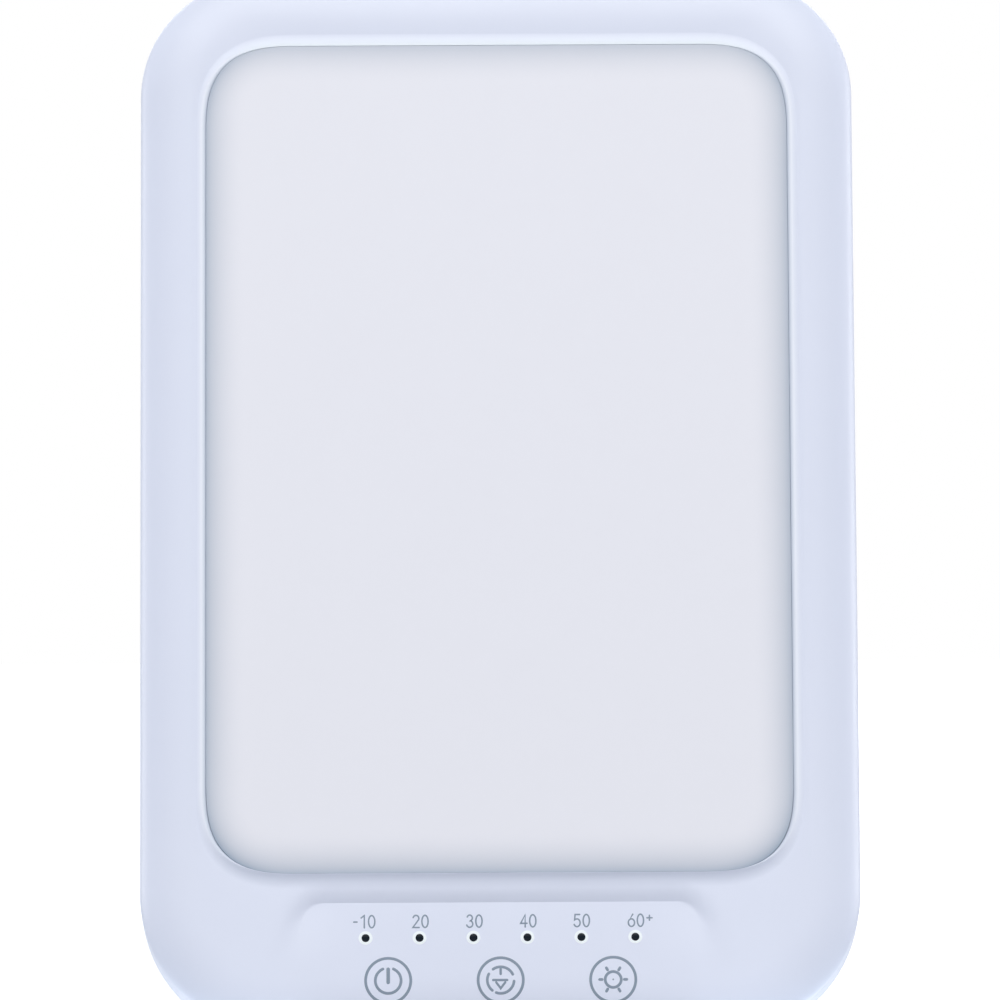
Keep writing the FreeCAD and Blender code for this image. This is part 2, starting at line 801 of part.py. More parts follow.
def led_leads():
    """From each strip's lower end, round the tray's corner, to a connector on the board."""
    body = new_body("led_leads")
    depth = board_rear + size.lead_diameter / 2
    start = strip_inner + size.strip_thickness / 2
    end = size.board_width / 2
    for side, name in ((-1, "left"), (1, "right")):
        path = at_depth(body, f"lead_path_{name}", depth)
        bend = size.lead_bend
        corner = FreeCAD.Vector((start - bend).number * side, (size.lead_line + bend).number, 0)
        arc_circle = Part.Circle(corner, FreeCAD.Vector(0, 0, 1), bend.number)
        ends = (-math.pi / 2, 0) if side > 0 else (math.pi, math.pi * 3 / 2)
        arc = Part.ArcOfCircle(arc_circle, *ends)
        low_end, high_end = (1, 2) if side > 0 else (2, 1)
        low_point = arc.StartPoint if side > 0 else arc.EndPoint
        high_point = arc.EndPoint if side > 0 else arc.StartPoint
        top = FreeCAD.Vector(start.number * side, strip_low.number, 0)
        inner = FreeCAD.Vector(end.number * side, size.lead_line.number, 0)
        path.addGeometry([
            Part.LineSegment(top, high_point),
            arc,
            Part.LineSegment(low_point, inner),
        ])
        path.addConstraint(Sketcher.Constraint("Tangent", 0, 2, 1, high_end))
        path.addConstraint(Sketcher.Constraint("Tangent", 1, low_end, 2, 1))
        path.addConstraint(Sketcher.Constraint("Vertical", 0))
        path.addConstraint(Sketcher.Constraint("Horizontal", 2))
        hold(path, "Radius", 1, value=bend)
        hold_point(path, 0, 1, start * side, strip_low)
        hold_point(path, 2, 2, end * side, size.lead_line)
        section = new_sketch(body, f"lead_section_{name}", "XY_Plane", strip_low)
        circle(section, start * side, depth, size.lead_diameter)
        pipe = body.newObject("PartDesign::AdditivePipe", f"lead_{name}")
        pipe.Profile = section
        pipe.Spine = path
        document.recompute()


# ---------------------------------------------------------------- control board

def control_board():
    body = new_body("control_board")
    half = size.board_width / 2
    sketch = at_depth(body, "board", board_front)
    rectangle(sketch, -half, half, size.board_bottom, size.board_bottom + size.board_height)
    pad(body, sketch, size.board_thickness, reverse=True)
    sketch = at_depth(body, "board_holes", board_front)
    circles(sketch, BOARD_SCREWS, size.small_shank + size.hole_clearance)
    pocket(body, sketch, size.board_thickness)


def touch_pads():
    """Conductive foam that joins each printed key to its patch on the board."""
    body = new_body("touch_pads")
    sketch = at_depth(body, "touch_pad_circles", face_inside)
    circles(sketch, [(across, size.key_line) for across in key_places], size.touch_pad_diameter)
    pad(body, sketch, size.board_standoff, reverse=True)


def indicator_leds():
    body = new_body("indicator_leds")
    sketch = at_depth(body, "indicators", board_front)
    half = size.indicator_led_side / 2
    for across in dot_places:
        rectangle(sketch, across - half, across + half, size.dot_line - half,
                  size.dot_line + half)
    pad(body, sketch, size.indicator_led_thickness)


def indicator_lens_strip():
    """One dark moulding: a bar behind the face with a pin through it for each light."""
    body = new_body("indicator_lens_strip")
    places = [(across, size.dot_line) for across in dot_places]
    end = dot_places[-1] + size.lens_bar_end
    half = size.lens_bar_height / 2
    sketch = at_depth(body, "lens_bar", face_inside)
    rectangle(sketch, -end, end, size.dot_line - half, size.dot_line + half)
    pad(body, sketch, size.lens_bar_thickness, reverse=True)
    sketch = at_depth(body, "lens_pins", face_inside)
    circles(sketch, places, size.dot_diameter)
    pad(body, sketch, size.face_wall)
    sketch = at_depth(body, "lens_stubs", face_inside + size.lens_bar_thickness)
    circles(sketch, places, size.dot_diameter)
    gap = size.board_standoff - size.indicator_led_thickness - size.lens_bar_thickness
    pad(body, sketch, gap - size.hole_clearance, reverse=True)


def board_blocks(name, middles, line, side, height):
    """Square components in a row, soldered on the rear of the control board."""
    body = new_body(name)
    sketch = at_depth(body, name + "_base", board_rear)
    half = side / 2
    for middle in middles:
        rectangle(sketch, middle - half, middle + half, line - half, line + half)
    pad(body, sketch, height, reverse=True)


def led_connectors():
    end = size.board_width / 2 - size.connector_length / 2
    board_blocks("led_connectors", [-end, end], size.lead_line, size.connector_length,
                 size.connector_height)


def driver_capacitors():
    body = new_body("driver_capacitors")
    sketch = at_depth(body, "capacitors", board_rear)
    for side in (-1, 1):
        middle = size.capacitor_across + size.capacitor_pitch / 2 * side
        circle(sketch, middle, size.capacitor_line, size.capacitor_diameter)
    pad(body, sketch, size.capacitor_height, reverse=True)


def dc_inlet():
    body = new_body("dc_inlet")
    middle, line, half = size.inlet_across, size.inlet_line, size.inlet_side / 2
    sketch = at_depth(body, "inlet_body", board_rear)
    rectangle(sketch, middle - half, middle + half, line - half, line + half)
    pad(body, sketch, cover_inside - board_rear, reverse=True)
    sketch = at_depth(body, "inlet_collar", cover_inside)
    circle(sketch, middle, line, size.inlet_collar_diameter)
    pad(body, sketch, size.rear_wall - size.inlet_collar_sunk, reverse=True)
    mouth = size.back_depth - size.inlet_collar_sunk
    sketch = at_depth(body, "inlet_bore", mouth)
    circle(sketch, middle, line, size.inlet_bore_diameter)
    pocket(body, sketch, size.inlet_bore_depth, reverse=True)

    contact = new_body("dc_inlet_pin")
    sketch = at_depth(contact, "inlet_pin", mouth - size.inlet_bore_depth)
    circle(sketch, middle, line, size.inlet_pin_diameter)
    pad(contact, sketch, size.inlet_bore_depth - size.inlet_pin_sunk, reverse=True)


# ---------------------------------------------------------------- screws

def screws(name, places, seat, shank, grip, head, head_height):
    """Pan-head screws that point to -Y, their heads seated at this depth.

    The cross recess takes up drive_share of the head's width and of its height.
    """
    body = new_body(name)
    sketch = at_depth(body, name + "_shanks", seat)
    circles(sketch, places, shank)
    pad(body, sketch, grip)
    sketch = at_depth(body, name + "_heads", seat)
    circles(sketch, places, head)
    heads = pad(body, sketch, head_height, reverse=True)
    fillet(body, heads, edges_at(heads, seat + head_height), head_height * size.head_round_share)
    reach = head * size.drive_share / 2
    half = size.drive_slot / 2
    for turn, (wide, tall) in enumerate(((reach, half), (half, reach))):
        sketch = at_depth(body, f"{name}_drive_{turn}", seat + head_height)
        for across, up in places:
            rectangle(sketch, across - wide, across + wide, up - tall, up + tall)
        pocket(body, sketch, head_height * size.drive_share, reverse=True)


# ---------------------------------------------------------------- stand

def trim_to_plan(body):
    """Rounds the two corners at the leg's tip."""
    margin = size.leg_corner
    sketch = at_depth(body, body.Name + "_plan", 0)
    rectangle(sketch, -leg_half - margin, leg_half + margin,
              -size.leg_rear - margin * 2, tip_high + margin)
    rounded(sketch, leg_half, -size.leg_rear - margin, tip_high, size.leg_edge_round,
            size.leg_corner)
    return pocket(body, sketch, (size.leg_front + size.leg_rear) * 2, symmetric=True)


def kickstand_leg():
    """Ribbed plate with a full-width knuckle, folded up along +Z from its hinge at the origin."""
    body = new_body("kickstand_leg")
    front, rear = -size.leg_front, size.leg_rear
    sketch = new_sketch(body, "leg_side", "YZ_Plane")
    polygon(sketch, [(front, 0), (rear, 0), (rear, leg_end), (front, leg_end)])
    plate = pad(body, sketch, size.leg_width, symmetric=True)
    sides = edges_at(plate, rear, lambda box: box.ZLength > box.XLength)
    fillet(body, plate, sides, size.leg_edge_round)
    sketch = new_sketch(body, "knuckle", "YZ_Plane")
    circle(sketch, 0, 0, size.leg_rear * 2)
    pad(body, sketch, size.leg_width, symmetric=True)

    # hollows between the ribs on the face that looks into the recess
    sketch = at_depth(body, "leg_hollows", front)
    low = size.leg_rear + size.leg_rib
    high = leg_end - size.tip_tongue_depth - size.leg_rib
    bay = (size.leg_width - size.leg_rib * (LEG_BAYS + 1)) / LEG_BAYS
    for i in range(LEG_BAYS):
        left = (bay + size.leg_rib) * i + size.leg_rib - leg_half
        rectangle(sketch, left, left + bay, low, high)
    pocket(body, sketch, size.leg_front + size.leg_rear - size.leg_skin)

    sketch = new_sketch(body, "tip_slot", "XY_Plane", leg_end)
    tip_tongue(sketch, -size.tip_tongue / 2, size.tip_tongue / 2)
    pocket(body, sketch, size.tip_tongue_depth)
    sketch = new_sketch(body, "pin_bore", "YZ_Plane")
    circle(sketch, 0, 0, size.pin_diameter + size.pin_running * 2)
    pocket(body, sketch, size.leg_width, symmetric=True)


def tip_tongue(sketch, front, rear):
    half = leg_half - size.leg_corner
    rectangle(sketch, -half, half, front, rear)


def kickstand_foot():
    """Rubber tip: a wedge with a tongue in the leg's slot, cut flat where it meets the ground."""
    body = new_body("kickstand_foot")
    front, rear = -size.tip_front, size.leg_rear
    sketch = new_sketch(body, "foot_side", "YZ_Plane")
    polygon(sketch, [
        (front, leg_end),
        (rear, leg_end),
        (rear, leg_reach - rear * ground_fall),
        (front, leg_reach - front * ground_fall),
    ])
    pad(body, sketch, size.leg_width, symmetric=True)
    trim_to_plan(body)
    sketch = new_sketch(body, "tongue_outline", "XY_Plane", leg_end)
    tip_tongue(sketch, -size.tip_tongue / 2, size.tip_tongue / 2)
    pad(body, sketch, size.tip_tongue_depth, reverse=True)


def hinge_pin():
    """Pressed into the recess's side walls; the leg's knuckle turns on it."""
    body = new_body("hinge_pin")
    sketch = new_sketch(body, "pin_section", "YZ_Plane")
    circle(sketch, 0, 0, size.pin_diameter)
    length = recess_width + (size.recess_wall + size.pin_end) * 2
    pad(body, sketch, length, symmetric=True)


def friction_washers():
    """A spring washer on the pin at each end of the knuckle."""
    body = new_body("friction_washers")
    middle = recess_width / 2 - size.washer_thickness / 2
    for side, name in ((-1, "left"), (1, "right")):
        sketch = new_sketch(body, f"washer_{name}", "YZ_Plane", middle * side)
        circle(sketch, 0, 0, size.washer_diameter)
        circle(sketch, 0, 0, size.pin_diameter)
        pad(body, sketch, size.washer_thickness, symmetric=True)


# ---------------------------------------------------------------- build

front_bezel()
back_cover()
diffuser_panel()
diffuser_gasket()
window_sheet("diffusion_film", rim_rear, size.film_thickness, size.guide_overlap)
window_sheet("light_guide_plate", film_rear, size.guide_thickness, size.guide_overlap)
window_sheet("reflector_sheet", guide_rear, size.reflector_thickness, size.guide_overlap)
led_tray()
led_strip("led_strip_left", -1)
led_strip("led_strip_right", 1)
led_chips()
led_leads()
led_connectors()
control_board()
touch_pads()
indicator_leds()
indicator_lens_strip()
board_blocks("control_chip", [size.chip_across], size.chip_line, size.chip_side,
             size.chip_height)
board_blocks("driver_inductor", [size.inductor_across], size.inductor_line,
             size.inductor_side, size.inductor_height)
driver_capacitors()
dc_inlet()
screws("tray_screws", TRAY_SCREWS, tray_rear, size.small_shank,
       size.tray_sheet + size.small_grip, size.small_head, size.small_head_height)
screws("board_screws", BOARD_SCREWS, board_rear, size.small_shank,
       size.board_thickness + size.small_grip, size.small_head, size.small_head_height)
screws("housing_screws", HOUSING_SCREWS, size.well_seat, size.housing_shank,
       size.well_seat + size.housing_grip, size.housing_head, size.housing_head_height)
base_feet()
LEG_FRAME = ("kickstand_leg", "kickstand_foot")
PIN_FRAME = ("hinge_pin", "friction_washers")
kickstand_leg()
kickstand_foot()
hinge_pin()
friction_washers()
document.recompute()

# ---------------------------------------------------------------- placement

across_axis = FreeCAD.Vector(1, 0, 0)
lean = FreeCAD.Rotation(across_axis, -size.lean_angle.number)
opened = FreeCAD.Rotation(across_axis, -ground_turn.number)
hinge = FreeCAD.Vector(0, size.hinge_depth.number, size.hinge_line.number)
contact = FreeCAD.Vector(0, size.foot_depth.number, -size.foot_drop.number)
rise = FreeCAD.Vector(0, 0, -lean.multVec(contact).z)


def place_all(shift):
    """Lean the panel and its hinge, open the leg, and move everything by shift."""
    hinge_place = lean.multVec(hinge) + shift
    for part in SUB_PARTS:
        if part.Label in LEG_FRAME:
            part.Placement = FreeCAD.Placement(hinge_place, opened)
        elif part.Label in PIN_FRAME:
            part.Placement = FreeCAD.Placement(hinge_place, lean)
        else:
            part.Placement = FreeCAD.Placement(shift, lean)
    document.recompute()
    return hinge_place


def overall_box():
    box = FreeCAD.BoundBox()
    for part in SUB_PARTS:
        box.add(part.Shape.optimalBoundingBox(True, False))
    return box


place_all(rise)
box = overall_box()
hinge_place = place_all(rise - FreeCAD.Vector(box.Center.x, box.Center.y, 0))
box = overall_box()
print(f"box {box.XMin:.3f} {box.YMin:.3f} {box.ZMin:.3f} to "
      f"{box.XMax:.3f} {box.YMax:.3f} {box.ZMax:.3f}")
print(f"hinge axis along X at y {hinge_place.y:.3f}, z {hinge_place.z:.3f}")

# ---------------------------------------------------------------- check and write

for item in document.Objects:
    if "Invalid" in item.State or "Error" in item.State:
        raise RuntimeError(f"{item.Name} failed: {item.State}")
for part in SUB_PARTS:
    if part.Shape.isNull() or not part.Shape.isValid():
        raise RuntimeError(f"{part.Label} has no valid shape")
for part in SUB_PARTS:
    part.Shape.exportStep(f"parts/{part.Label}.step")
    print(f"{part.Label}: {len(part.Shape.Solids)} solids, {part.Shape.Volume:.1f} mm3")
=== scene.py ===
# %% [markdown]
# # Dressing a light therapy lamp
#
# The lamp is a thin panel, much like a tablet: a satin bezel, an opal window, six timer lights and
# three touch keys. A leg folds out of its back and lets it lean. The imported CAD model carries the
# construction, so we load it first and measure everything that follows from it. One could type
# the sizes in again, but then the looks and the construction would drift apart.

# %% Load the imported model
import json
import math

import bpy
import numpy as np
from mathutils import Matrix


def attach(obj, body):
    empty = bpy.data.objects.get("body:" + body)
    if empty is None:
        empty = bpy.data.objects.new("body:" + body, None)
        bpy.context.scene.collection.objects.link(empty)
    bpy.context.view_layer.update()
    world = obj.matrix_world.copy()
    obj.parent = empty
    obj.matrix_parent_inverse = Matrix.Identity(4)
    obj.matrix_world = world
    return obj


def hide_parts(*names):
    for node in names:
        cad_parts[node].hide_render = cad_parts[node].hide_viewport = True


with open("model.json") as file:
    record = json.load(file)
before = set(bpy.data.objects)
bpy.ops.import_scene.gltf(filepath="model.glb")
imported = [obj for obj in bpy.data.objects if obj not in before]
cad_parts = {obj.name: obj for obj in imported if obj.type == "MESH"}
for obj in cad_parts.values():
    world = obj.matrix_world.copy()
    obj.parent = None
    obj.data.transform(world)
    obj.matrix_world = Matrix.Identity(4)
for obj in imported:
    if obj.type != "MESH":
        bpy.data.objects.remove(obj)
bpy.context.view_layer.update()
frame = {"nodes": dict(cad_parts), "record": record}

# %% [markdown]
# ## A frame of reference for the panel
#
# The panel leans back, and shapes are far easier to think about on an upright panel: X across,
# Z up from its lower edge, Y into its depth with 0 at the seam between bezel and cover. The lean
# is read from the direction of the DC inlet, which points straight out of the back. The seam and
# the lower edge are measured on the bezel. We work in millimetres and turn each finished shape
# into its leaning place, in metres, in the mesh itself.

# %% The lean and the panel's own origin
MM = 0.001
inlet_axis = next(mount["axis"] for mount in frame["record"]["mounts"]
                  if mount["name"] == "dc_inlet_mouth")
lean = math.atan2(-inlet_axis[2], inlet_axis[1])
LEAN = np.array([[1, 0, 0],
                 [0, math.cos(lean), math.sin(lean)],
                 [0, -math.sin(lean), math.cos(lean)]])


def node_points(name):
    """All the vertices of a CAD node, in millimetres, turned upright."""
    mesh = frame["nodes"][name].data
    points = np.empty(len(mesh.vertices) * 3, np.float32)
    mesh.vertices.foreach_get("co", points)
    return points.reshape(-1, 3).astype(float) / MM @ LEAN


cad_bezel = node_points("front_bezel")
HALF_WIDTH = cad_bezel[:, 0].max()
EDGE_BAND = 0.3
outermost = cad_bezel[cad_bezel[:, 0] > HALF_WIDTH - EDGE_BAND]
origin = np.array([0.0, outermost[:, 1].max(), cad_bezel[:, 2].min()])
HEIGHT = cad_bezel[:, 2].max() - origin[2]
LIP_FRONT = cad_bezel[:, 1].min() - origin[1]


def placed(points):
    """Points of the upright panel, in millimetres, moved to the leaning panel, in metres."""
    return (np.asarray(points) + origin) @ LEAN.T * MM


def upright(name):
    """A CAD node's vertices in the panel's own frame."""
    return node_points(name) - origin


print(f"lean {math.degrees(lean):.2f} deg, panel {2 * HALF_WIDTH:.1f} x {HEIGHT:.1f} mm, "
      f"lip front at {LIP_FRONT:.2f} mm")

# %% [markdown]
# ## One helper for every new surface
#
# Each new piece here is a stack of closed loops: the bezel is a profile carried round the panel,
# a light is a profile turned about its axis, a printed line is a small section carried along a
# path. So one function joins a stack of loops with quads. It wraps round or closes both ends, and
# it measures the volume that the faces enclose: if that is negative, the faces look inwards and
# are turned round. This does without Recalculate Normals and can't get an odd piece wrong.

# %% Loops to a shell
def skin(loops, ring=False):
    """Joins loops[row, column] into one closed shell and returns its points and faces.

    Columns always run round. Rows run round too if ring is true, and otherwise the first and the
    last loop are closed by a flat face each. The signed volume is the sum, over all triangles, of
    the triple product of their corners divided by six.
    """
    loops = np.asarray(loops, float)
    rows, columns = loops.shape[:2]
    index = np.arange(rows * columns).reshape(rows, columns)
    here = index if ring else index[:-1]
    above = np.roll(index, -1, axis=0) if ring else index[1:]
    quads = np.stack([here, np.roll(here, -1, axis=1), np.roll(above, -1, axis=1), above], axis=-1)
    quads = quads.reshape(-1, 4)
    points = loops.reshape(-1, 3)
    a, b, c, d = (points[quads[:, i]] for i in range(4))
    volume = np.einsum("ij,ij->", a, np.cross(b, c)) + np.einsum("ij,ij->", a, np.cross(c, d))
    caps = [] if ring else [index[0][::-1], index[-1]]
    for cap in caps:
        fan = points[cap]
        volume += np.einsum("ij,ij->", np.tile(fan[0], (len(cap) - 2, 1)),
                            np.cross(fan[1:-1], fan[2:]))
    faces = [quads] + [cap[None, :] for cap in caps]
    if volume < 0:
        faces = [group[:, ::-1] for group in faces]
    return points, [face for group in faces for face in group.tolist()]


# %% Shells to a piece
SHARP_ANGLE = math.radians(30.0)


def make_piece(name, shells, material, body="panel", replaces=()):
    """One object from a list of shells, each of them a pair of points and faces.

    It is placed in its mesh and shaded smooth, with sharp edges past an angle.
    """
    start = 0
    points = []
    faces = []
    for shell_points, shell_faces in shells:
        points.append(placed(shell_points))
        faces += [[i + start for i in face] for face in shell_faces]
        start += len(shell_points)
    mesh = bpy.data.meshes.new(name)
    mesh.from_pydata(np.concatenate(points).tolist(), [], faces)
    mesh.validate()
    mesh.shade_smooth()
    mesh.set_sharp_from_angle(angle=SHARP_ANGLE)
    mesh.materials.append(material)
    piece = bpy.data.objects.new(name, mesh)
    bpy.context.scene.collection.objects.link(piece)
    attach(piece, body)
    if replaces:
        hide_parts(*replaces)
    print(f"{name}: {len(mesh.vertices)} points, {len(mesh.polygons)} faces")
    return piece


# %% [markdown]
# ## Outlines with soft corners
#
# The panel's outline has round corners, but the window's corners are squarer than an arc and leave
# the straight sides without a visible joint. A superellipse draws both: with a power of 2 it is a
# circle, and a higher power fills the corner. Written in polar form its points stay evenly spread.
# All outlines share the same stations round the panel, so any two of them can be joined row by
# row.

# %% Stations round the panel
SIDE_STEPS = 36
BOTTOM_STEPS = 260
CORNER_STEPS = 26


def stations():
    """Where the stations are, as three arrays that run counter-clockwise from the lower left.

    direction is the way a station's corner looks, across goes from -1 to 1 between the corner
    centres, and up from 0 to 1. On a straight side the direction stays and the centre moves; in a
    corner the centre stays and the direction turns.
    """
    direction, across, up = [], [], []
    sides = [(-1, 0, 1, 0, BOTTOM_STEPS), (1, 0, 1, 1, SIDE_STEPS),
             (1, 1, -1, 1, SIDE_STEPS), (-1, 1, -1, 0, SIDE_STEPS)]
    for turn, (x0, z0, x1, z1, steps) in enumerate(sides):
        share = np.linspace(0, 1, steps, endpoint=False)
        direction.append(np.full(steps, turn - 1.0))
        across.append(x0 + (x1 - x0) * share)
        up.append(z0 + (z1 - z0) * share)
        direction.append(turn - 1.0 + np.linspace(0, 1, CORNER_STEPS, endpoint=False))
        across.append(np.full(CORNER_STEPS, float(x1)))
        up.append(np.full(CORNER_STEPS, float(z1)))
    return np.concatenate(direction) * math.pi / 2, np.concatenate(across), np.concatenate(up)


DIRECTION, ACROSS, UP = stations()
print("stations round the panel:", len(DIRECTION))

# %% Outlines at the stations
def outline(half, low, high, low_corner, high_corner, power):
    """Points (x, z) and outward normals of a rectangle with superelliptic corners.

    A corner's point lies at its centre plus size * (cos a, sin a) / (|cos a|^n + |sin a|^n)^(1/n),
    and its normal is along (|cos a|^(n-1), |sin a|^(n-1)) with the signs of cos a and sin a.
    """
    cosine, sine = np.cos(DIRECTION), np.sin(DIRECTION)
    size = low_corner + (high_corner - low_corner) * UP
    reach = size * (np.abs(cosine) ** power + np.abs(sine) ** power) ** (-1 / power)
    centre_low, centre_high = low + low_corner, high - high_corner
    points = np.stack([ACROSS * (half - size) + reach * cosine,
                       centre_low + (centre_high - centre_low) * UP + reach * sine], axis=1)
    normals = np.stack([np.sign(cosine) * np.abs(cosine) ** (power - 1),
                        np.sign(sine) * np.abs(sine) ** (power - 1)], axis=1)
    return points, normals / np.linalg.norm(normals, axis=1, keepdims=True)


def grown(curve, growth):
    """A curve moved outwards along its normals; growth is a number or one value per station."""
    points, normals = curve
    return points + normals * np.reshape(growth, (-1, 1))


def at_depth(points, depth):
    """Loop of 3-D points from (x, z) points and a depth, a number or one value per station."""
    return np.stack([points[:, 0], np.broadcast_to(depth, len(points)), points[:, 1]], axis=1)


# %% The panel's and the window's outline
TOP_CORNER, BOTTOM_CORNER = 28.0, 31.0
SIDE_FRAME = 14.8
TOP_FRAME = 17.5
WINDOW_BOTTOM = 34.5
WINDOW_CORNER = 21.0
ARC_POWER, WINDOW_POWER = 2.0, 2.95
panel_edge = outline(HALF_WIDTH, 0.0, HEIGHT, BOTTOM_CORNER, TOP_CORNER, ARC_POWER)
window_edge = outline(HALF_WIDTH - SIDE_FRAME, WINDOW_BOTTOM, HEIGHT - TOP_FRAME, WINDOW_CORNER,
                      WINDOW_CORNER, WINDOW_POWER)
SIDEWAYS = np.abs(window_edge[1][:, 0])
UPWARD = np.clip(window_edge[1][:, 1], 0, 1)
DOWNWARD = np.clip(-window_edge[1][:, 1], 0, 1)
window_size = np.ptp(window_edge[0], axis=0)
print(f"window {window_size[0]:.1f} x {window_size[1]:.1f} mm")

# %% [markdown]
# ## Finishes
#
# The shell is satin moulded plastic in a pale lavender white. A single flat colour would look
# like paper, so three things vary: the colour drifts by a percent or two over a few centimetres,
# the roughness follows a fine noise, and a bump gives the eroded grain that such tools leave.
# Image textures could do it too, but noise in object coordinates has no seams and needs no
# unwrapping, because every piece's mesh already lies in its place.

# %% A finish from noise
NOISE_DETAIL = 2.0


def noise(nodes, links, coordinates, scale):
    """A cloudy texture in object coordinates, with so many cells per metre."""
    texture = nodes.new("ShaderNodeTexNoise")
    texture.inputs["Scale"].default_value = scale
    texture.inputs["Detail"].default_value = NOISE_DETAIL
    links.new(coordinates.outputs["Object"], texture.inputs["Vector"])
    return texture


def finish(name, colour, roughness, drift=0.015, drift_scale=25.0, grain_scale=2600.0,
           grain_depth=0.004, gloss_spread=0.05, metallic=0.0, specular=0.5):
    """A Principled surface whose colour drifts, whose gloss varies and whose grain is a bump.

    Scales are in cells per metre and the grain's depth in millimetres. drift is the share by
    which the colour goes up and down, and gloss_spread how far the roughness does.
    """
    material = bpy.data.materials.new(name)
    material.use_nodes = True
    nodes, links = material.node_tree.nodes, material.node_tree.links
    shader = nodes["Principled BSDF"]
    shader.inputs["Metallic"].default_value = metallic
    shader.inputs["Specular IOR Level"].default_value = specular
    coordinates = nodes.new("ShaderNodeTexCoord")

    clouds = noise(nodes, links, coordinates, drift_scale)
    tint = nodes.new("ShaderNodeMix")
    tint.data_type = "RGBA"
    tint.inputs["A"].default_value = [v * (1 - drift) for v in colour] + [1.0]
    tint.inputs["B"].default_value = [min(1.0, v * (1 + drift)) for v in colour] + [1.0]
    links.new(clouds.outputs["Fac"], tint.inputs["Factor"])
    links.new(tint.outputs["Result"], shader.inputs["Base Color"])

    grain = noise(nodes, links, coordinates, grain_scale)
    gloss = nodes.new("ShaderNodeMapRange")
    gloss.inputs["To Min"].default_value = roughness - gloss_spread
    gloss.inputs["To Max"].default_value = roughness + gloss_spread
    links.new(grain.outputs["Fac"], gloss.inputs["Value"])
    links.new(gloss.outputs["Result"], shader.inputs["Roughness"])
    bump = nodes.new("ShaderNodeBump")
    bump.inputs["Strength"].default_value = 1.0
    bump.inputs["Distance"].default_value = grain_depth * MM
    links.new(grain.outputs["Fac"], bump.inputs["Height"])
    links.new(bump.outputs["Normal"], shader.inputs["Normal"])
    return material


# %% Painted light and shade that follow an attribute
def with_painted_light(material, attribute, colour):
    """Paints light or shade over a finish's colour by a float attribute of the mesh; without it,
    nothing.
    """
    nodes, links = material.node_tree.nodes, material.node_tree.links
    shader = nodes["Principled BSDF"]
    amount = nodes.new("ShaderNodeAttribute")
    amount.attribute_name = attribute
    mix = nodes.new("ShaderNodeMix")
    mix.data_type = "RGBA"
    mix.inputs["B"].default_value = [*colour, 1.0]
    links.new(shader.inputs["Base Color"].links[0].from_socket, mix.inputs["A"])
    links.new(amount.outputs["Fac"], mix.inputs["Factor"])
    links.new(mix.outputs["Result"], shader.inputs["Base Color"])
    return material


def add_values(piece, attribute, values):
    """Stores one float per point, in the order of the points."""
    data = piece.data.attributes.new(attribute, "FLOAT", "POINT").data
    data.foreach_set("value", np.ascontiguousarray(values, np.float32).ravel())


# %% The shell's own finish, with painted light and shade on the bead
SHELL_COLOUR = (0.70, 0.745, 0.88)
# Painted highlights on the bead beside and over the window, and painted shade in the step behind it
# and on the bead under it.
BEAD_PAINTED_LIGHT = {"painted_crest_highlight": (0.81, 0.855, 0.955), "painted_highlight_above": (0.735, 0.800, 0.862),
              "painted_throat_shade": (0.43, 0.495, 0.615)}
shell_plastic = finish("shell_plastic", SHELL_COLOUR, 0.46)
for attribute, colour in BEAD_PAINTED_LIGHT.items():
    shell_plastic = with_painted_light(shell_plastic, attribute, colour)
print("tints over the shell's colour:", ", ".join(BEAD_PAINTED_LIGHT))

# %% [markdown]
# ## The front bezel
#
# A real bezel is one moulding: a wall, a long soft shoulder, a nearly flat face, and a raised bead
# round the window. Under the window the face sinks by a little over a millimetre under a curved
# brow, so that the row of lights sits in a shallow bay. One could model it with bevels on a block,
# but the shoulder is an ellipse, the bead differs from side to side and the bay fades out, all of
# which a profile states in one line each. The profile runs: seam, wall, shoulder, face, bead,
# window wall, back of the face, inside of the wall, and so to the seam again.
#
# A bead as thin as this catches more light than the face, and the step behind it less, and both
# are painted into the colour. Three attributes of the mesh say where: one for the bead beside the
# window, one for the bead over it, and one for the step, with a little of it on the bead under the
# window. The shell's finish mixes a lighter colour by the first two, as painted highlights, and a
# darker one by the third, as painted shade.

# %% The bay under the window
BEAD_HEIGHT = 0.6
FACE = LIP_FRONT + BEAD_HEIGHT
BAY_HALF = 44.0
BAY_LINE = 28.2
BAY_CORNER = 4.75
BAY_DROP = 1.35
BROW, BROW_SPREAD = 4.4, 14.0
BROW_POWER = 1.8
SPREAD_TOP, SPREAD_HEIGHT = 27.5, 24.0
MELT_TOP, MELT_HEIGHT = 28.2, 5.5
DROP_LOSS, LOSS_START, LOSS_WIDTH = 0.2, 38.0, 8.0
END_LOSS, END_START, END_WIDTH, END_HEIGHT = 0.6, 32.0, 14.0, 14.0


def eased(share):
    """0 to 1 with a soft start and end: 3 t squared - 2 t cubed."""
    share = np.clip(share, 0, 1)
    return share * share * (3 - 2 * share)


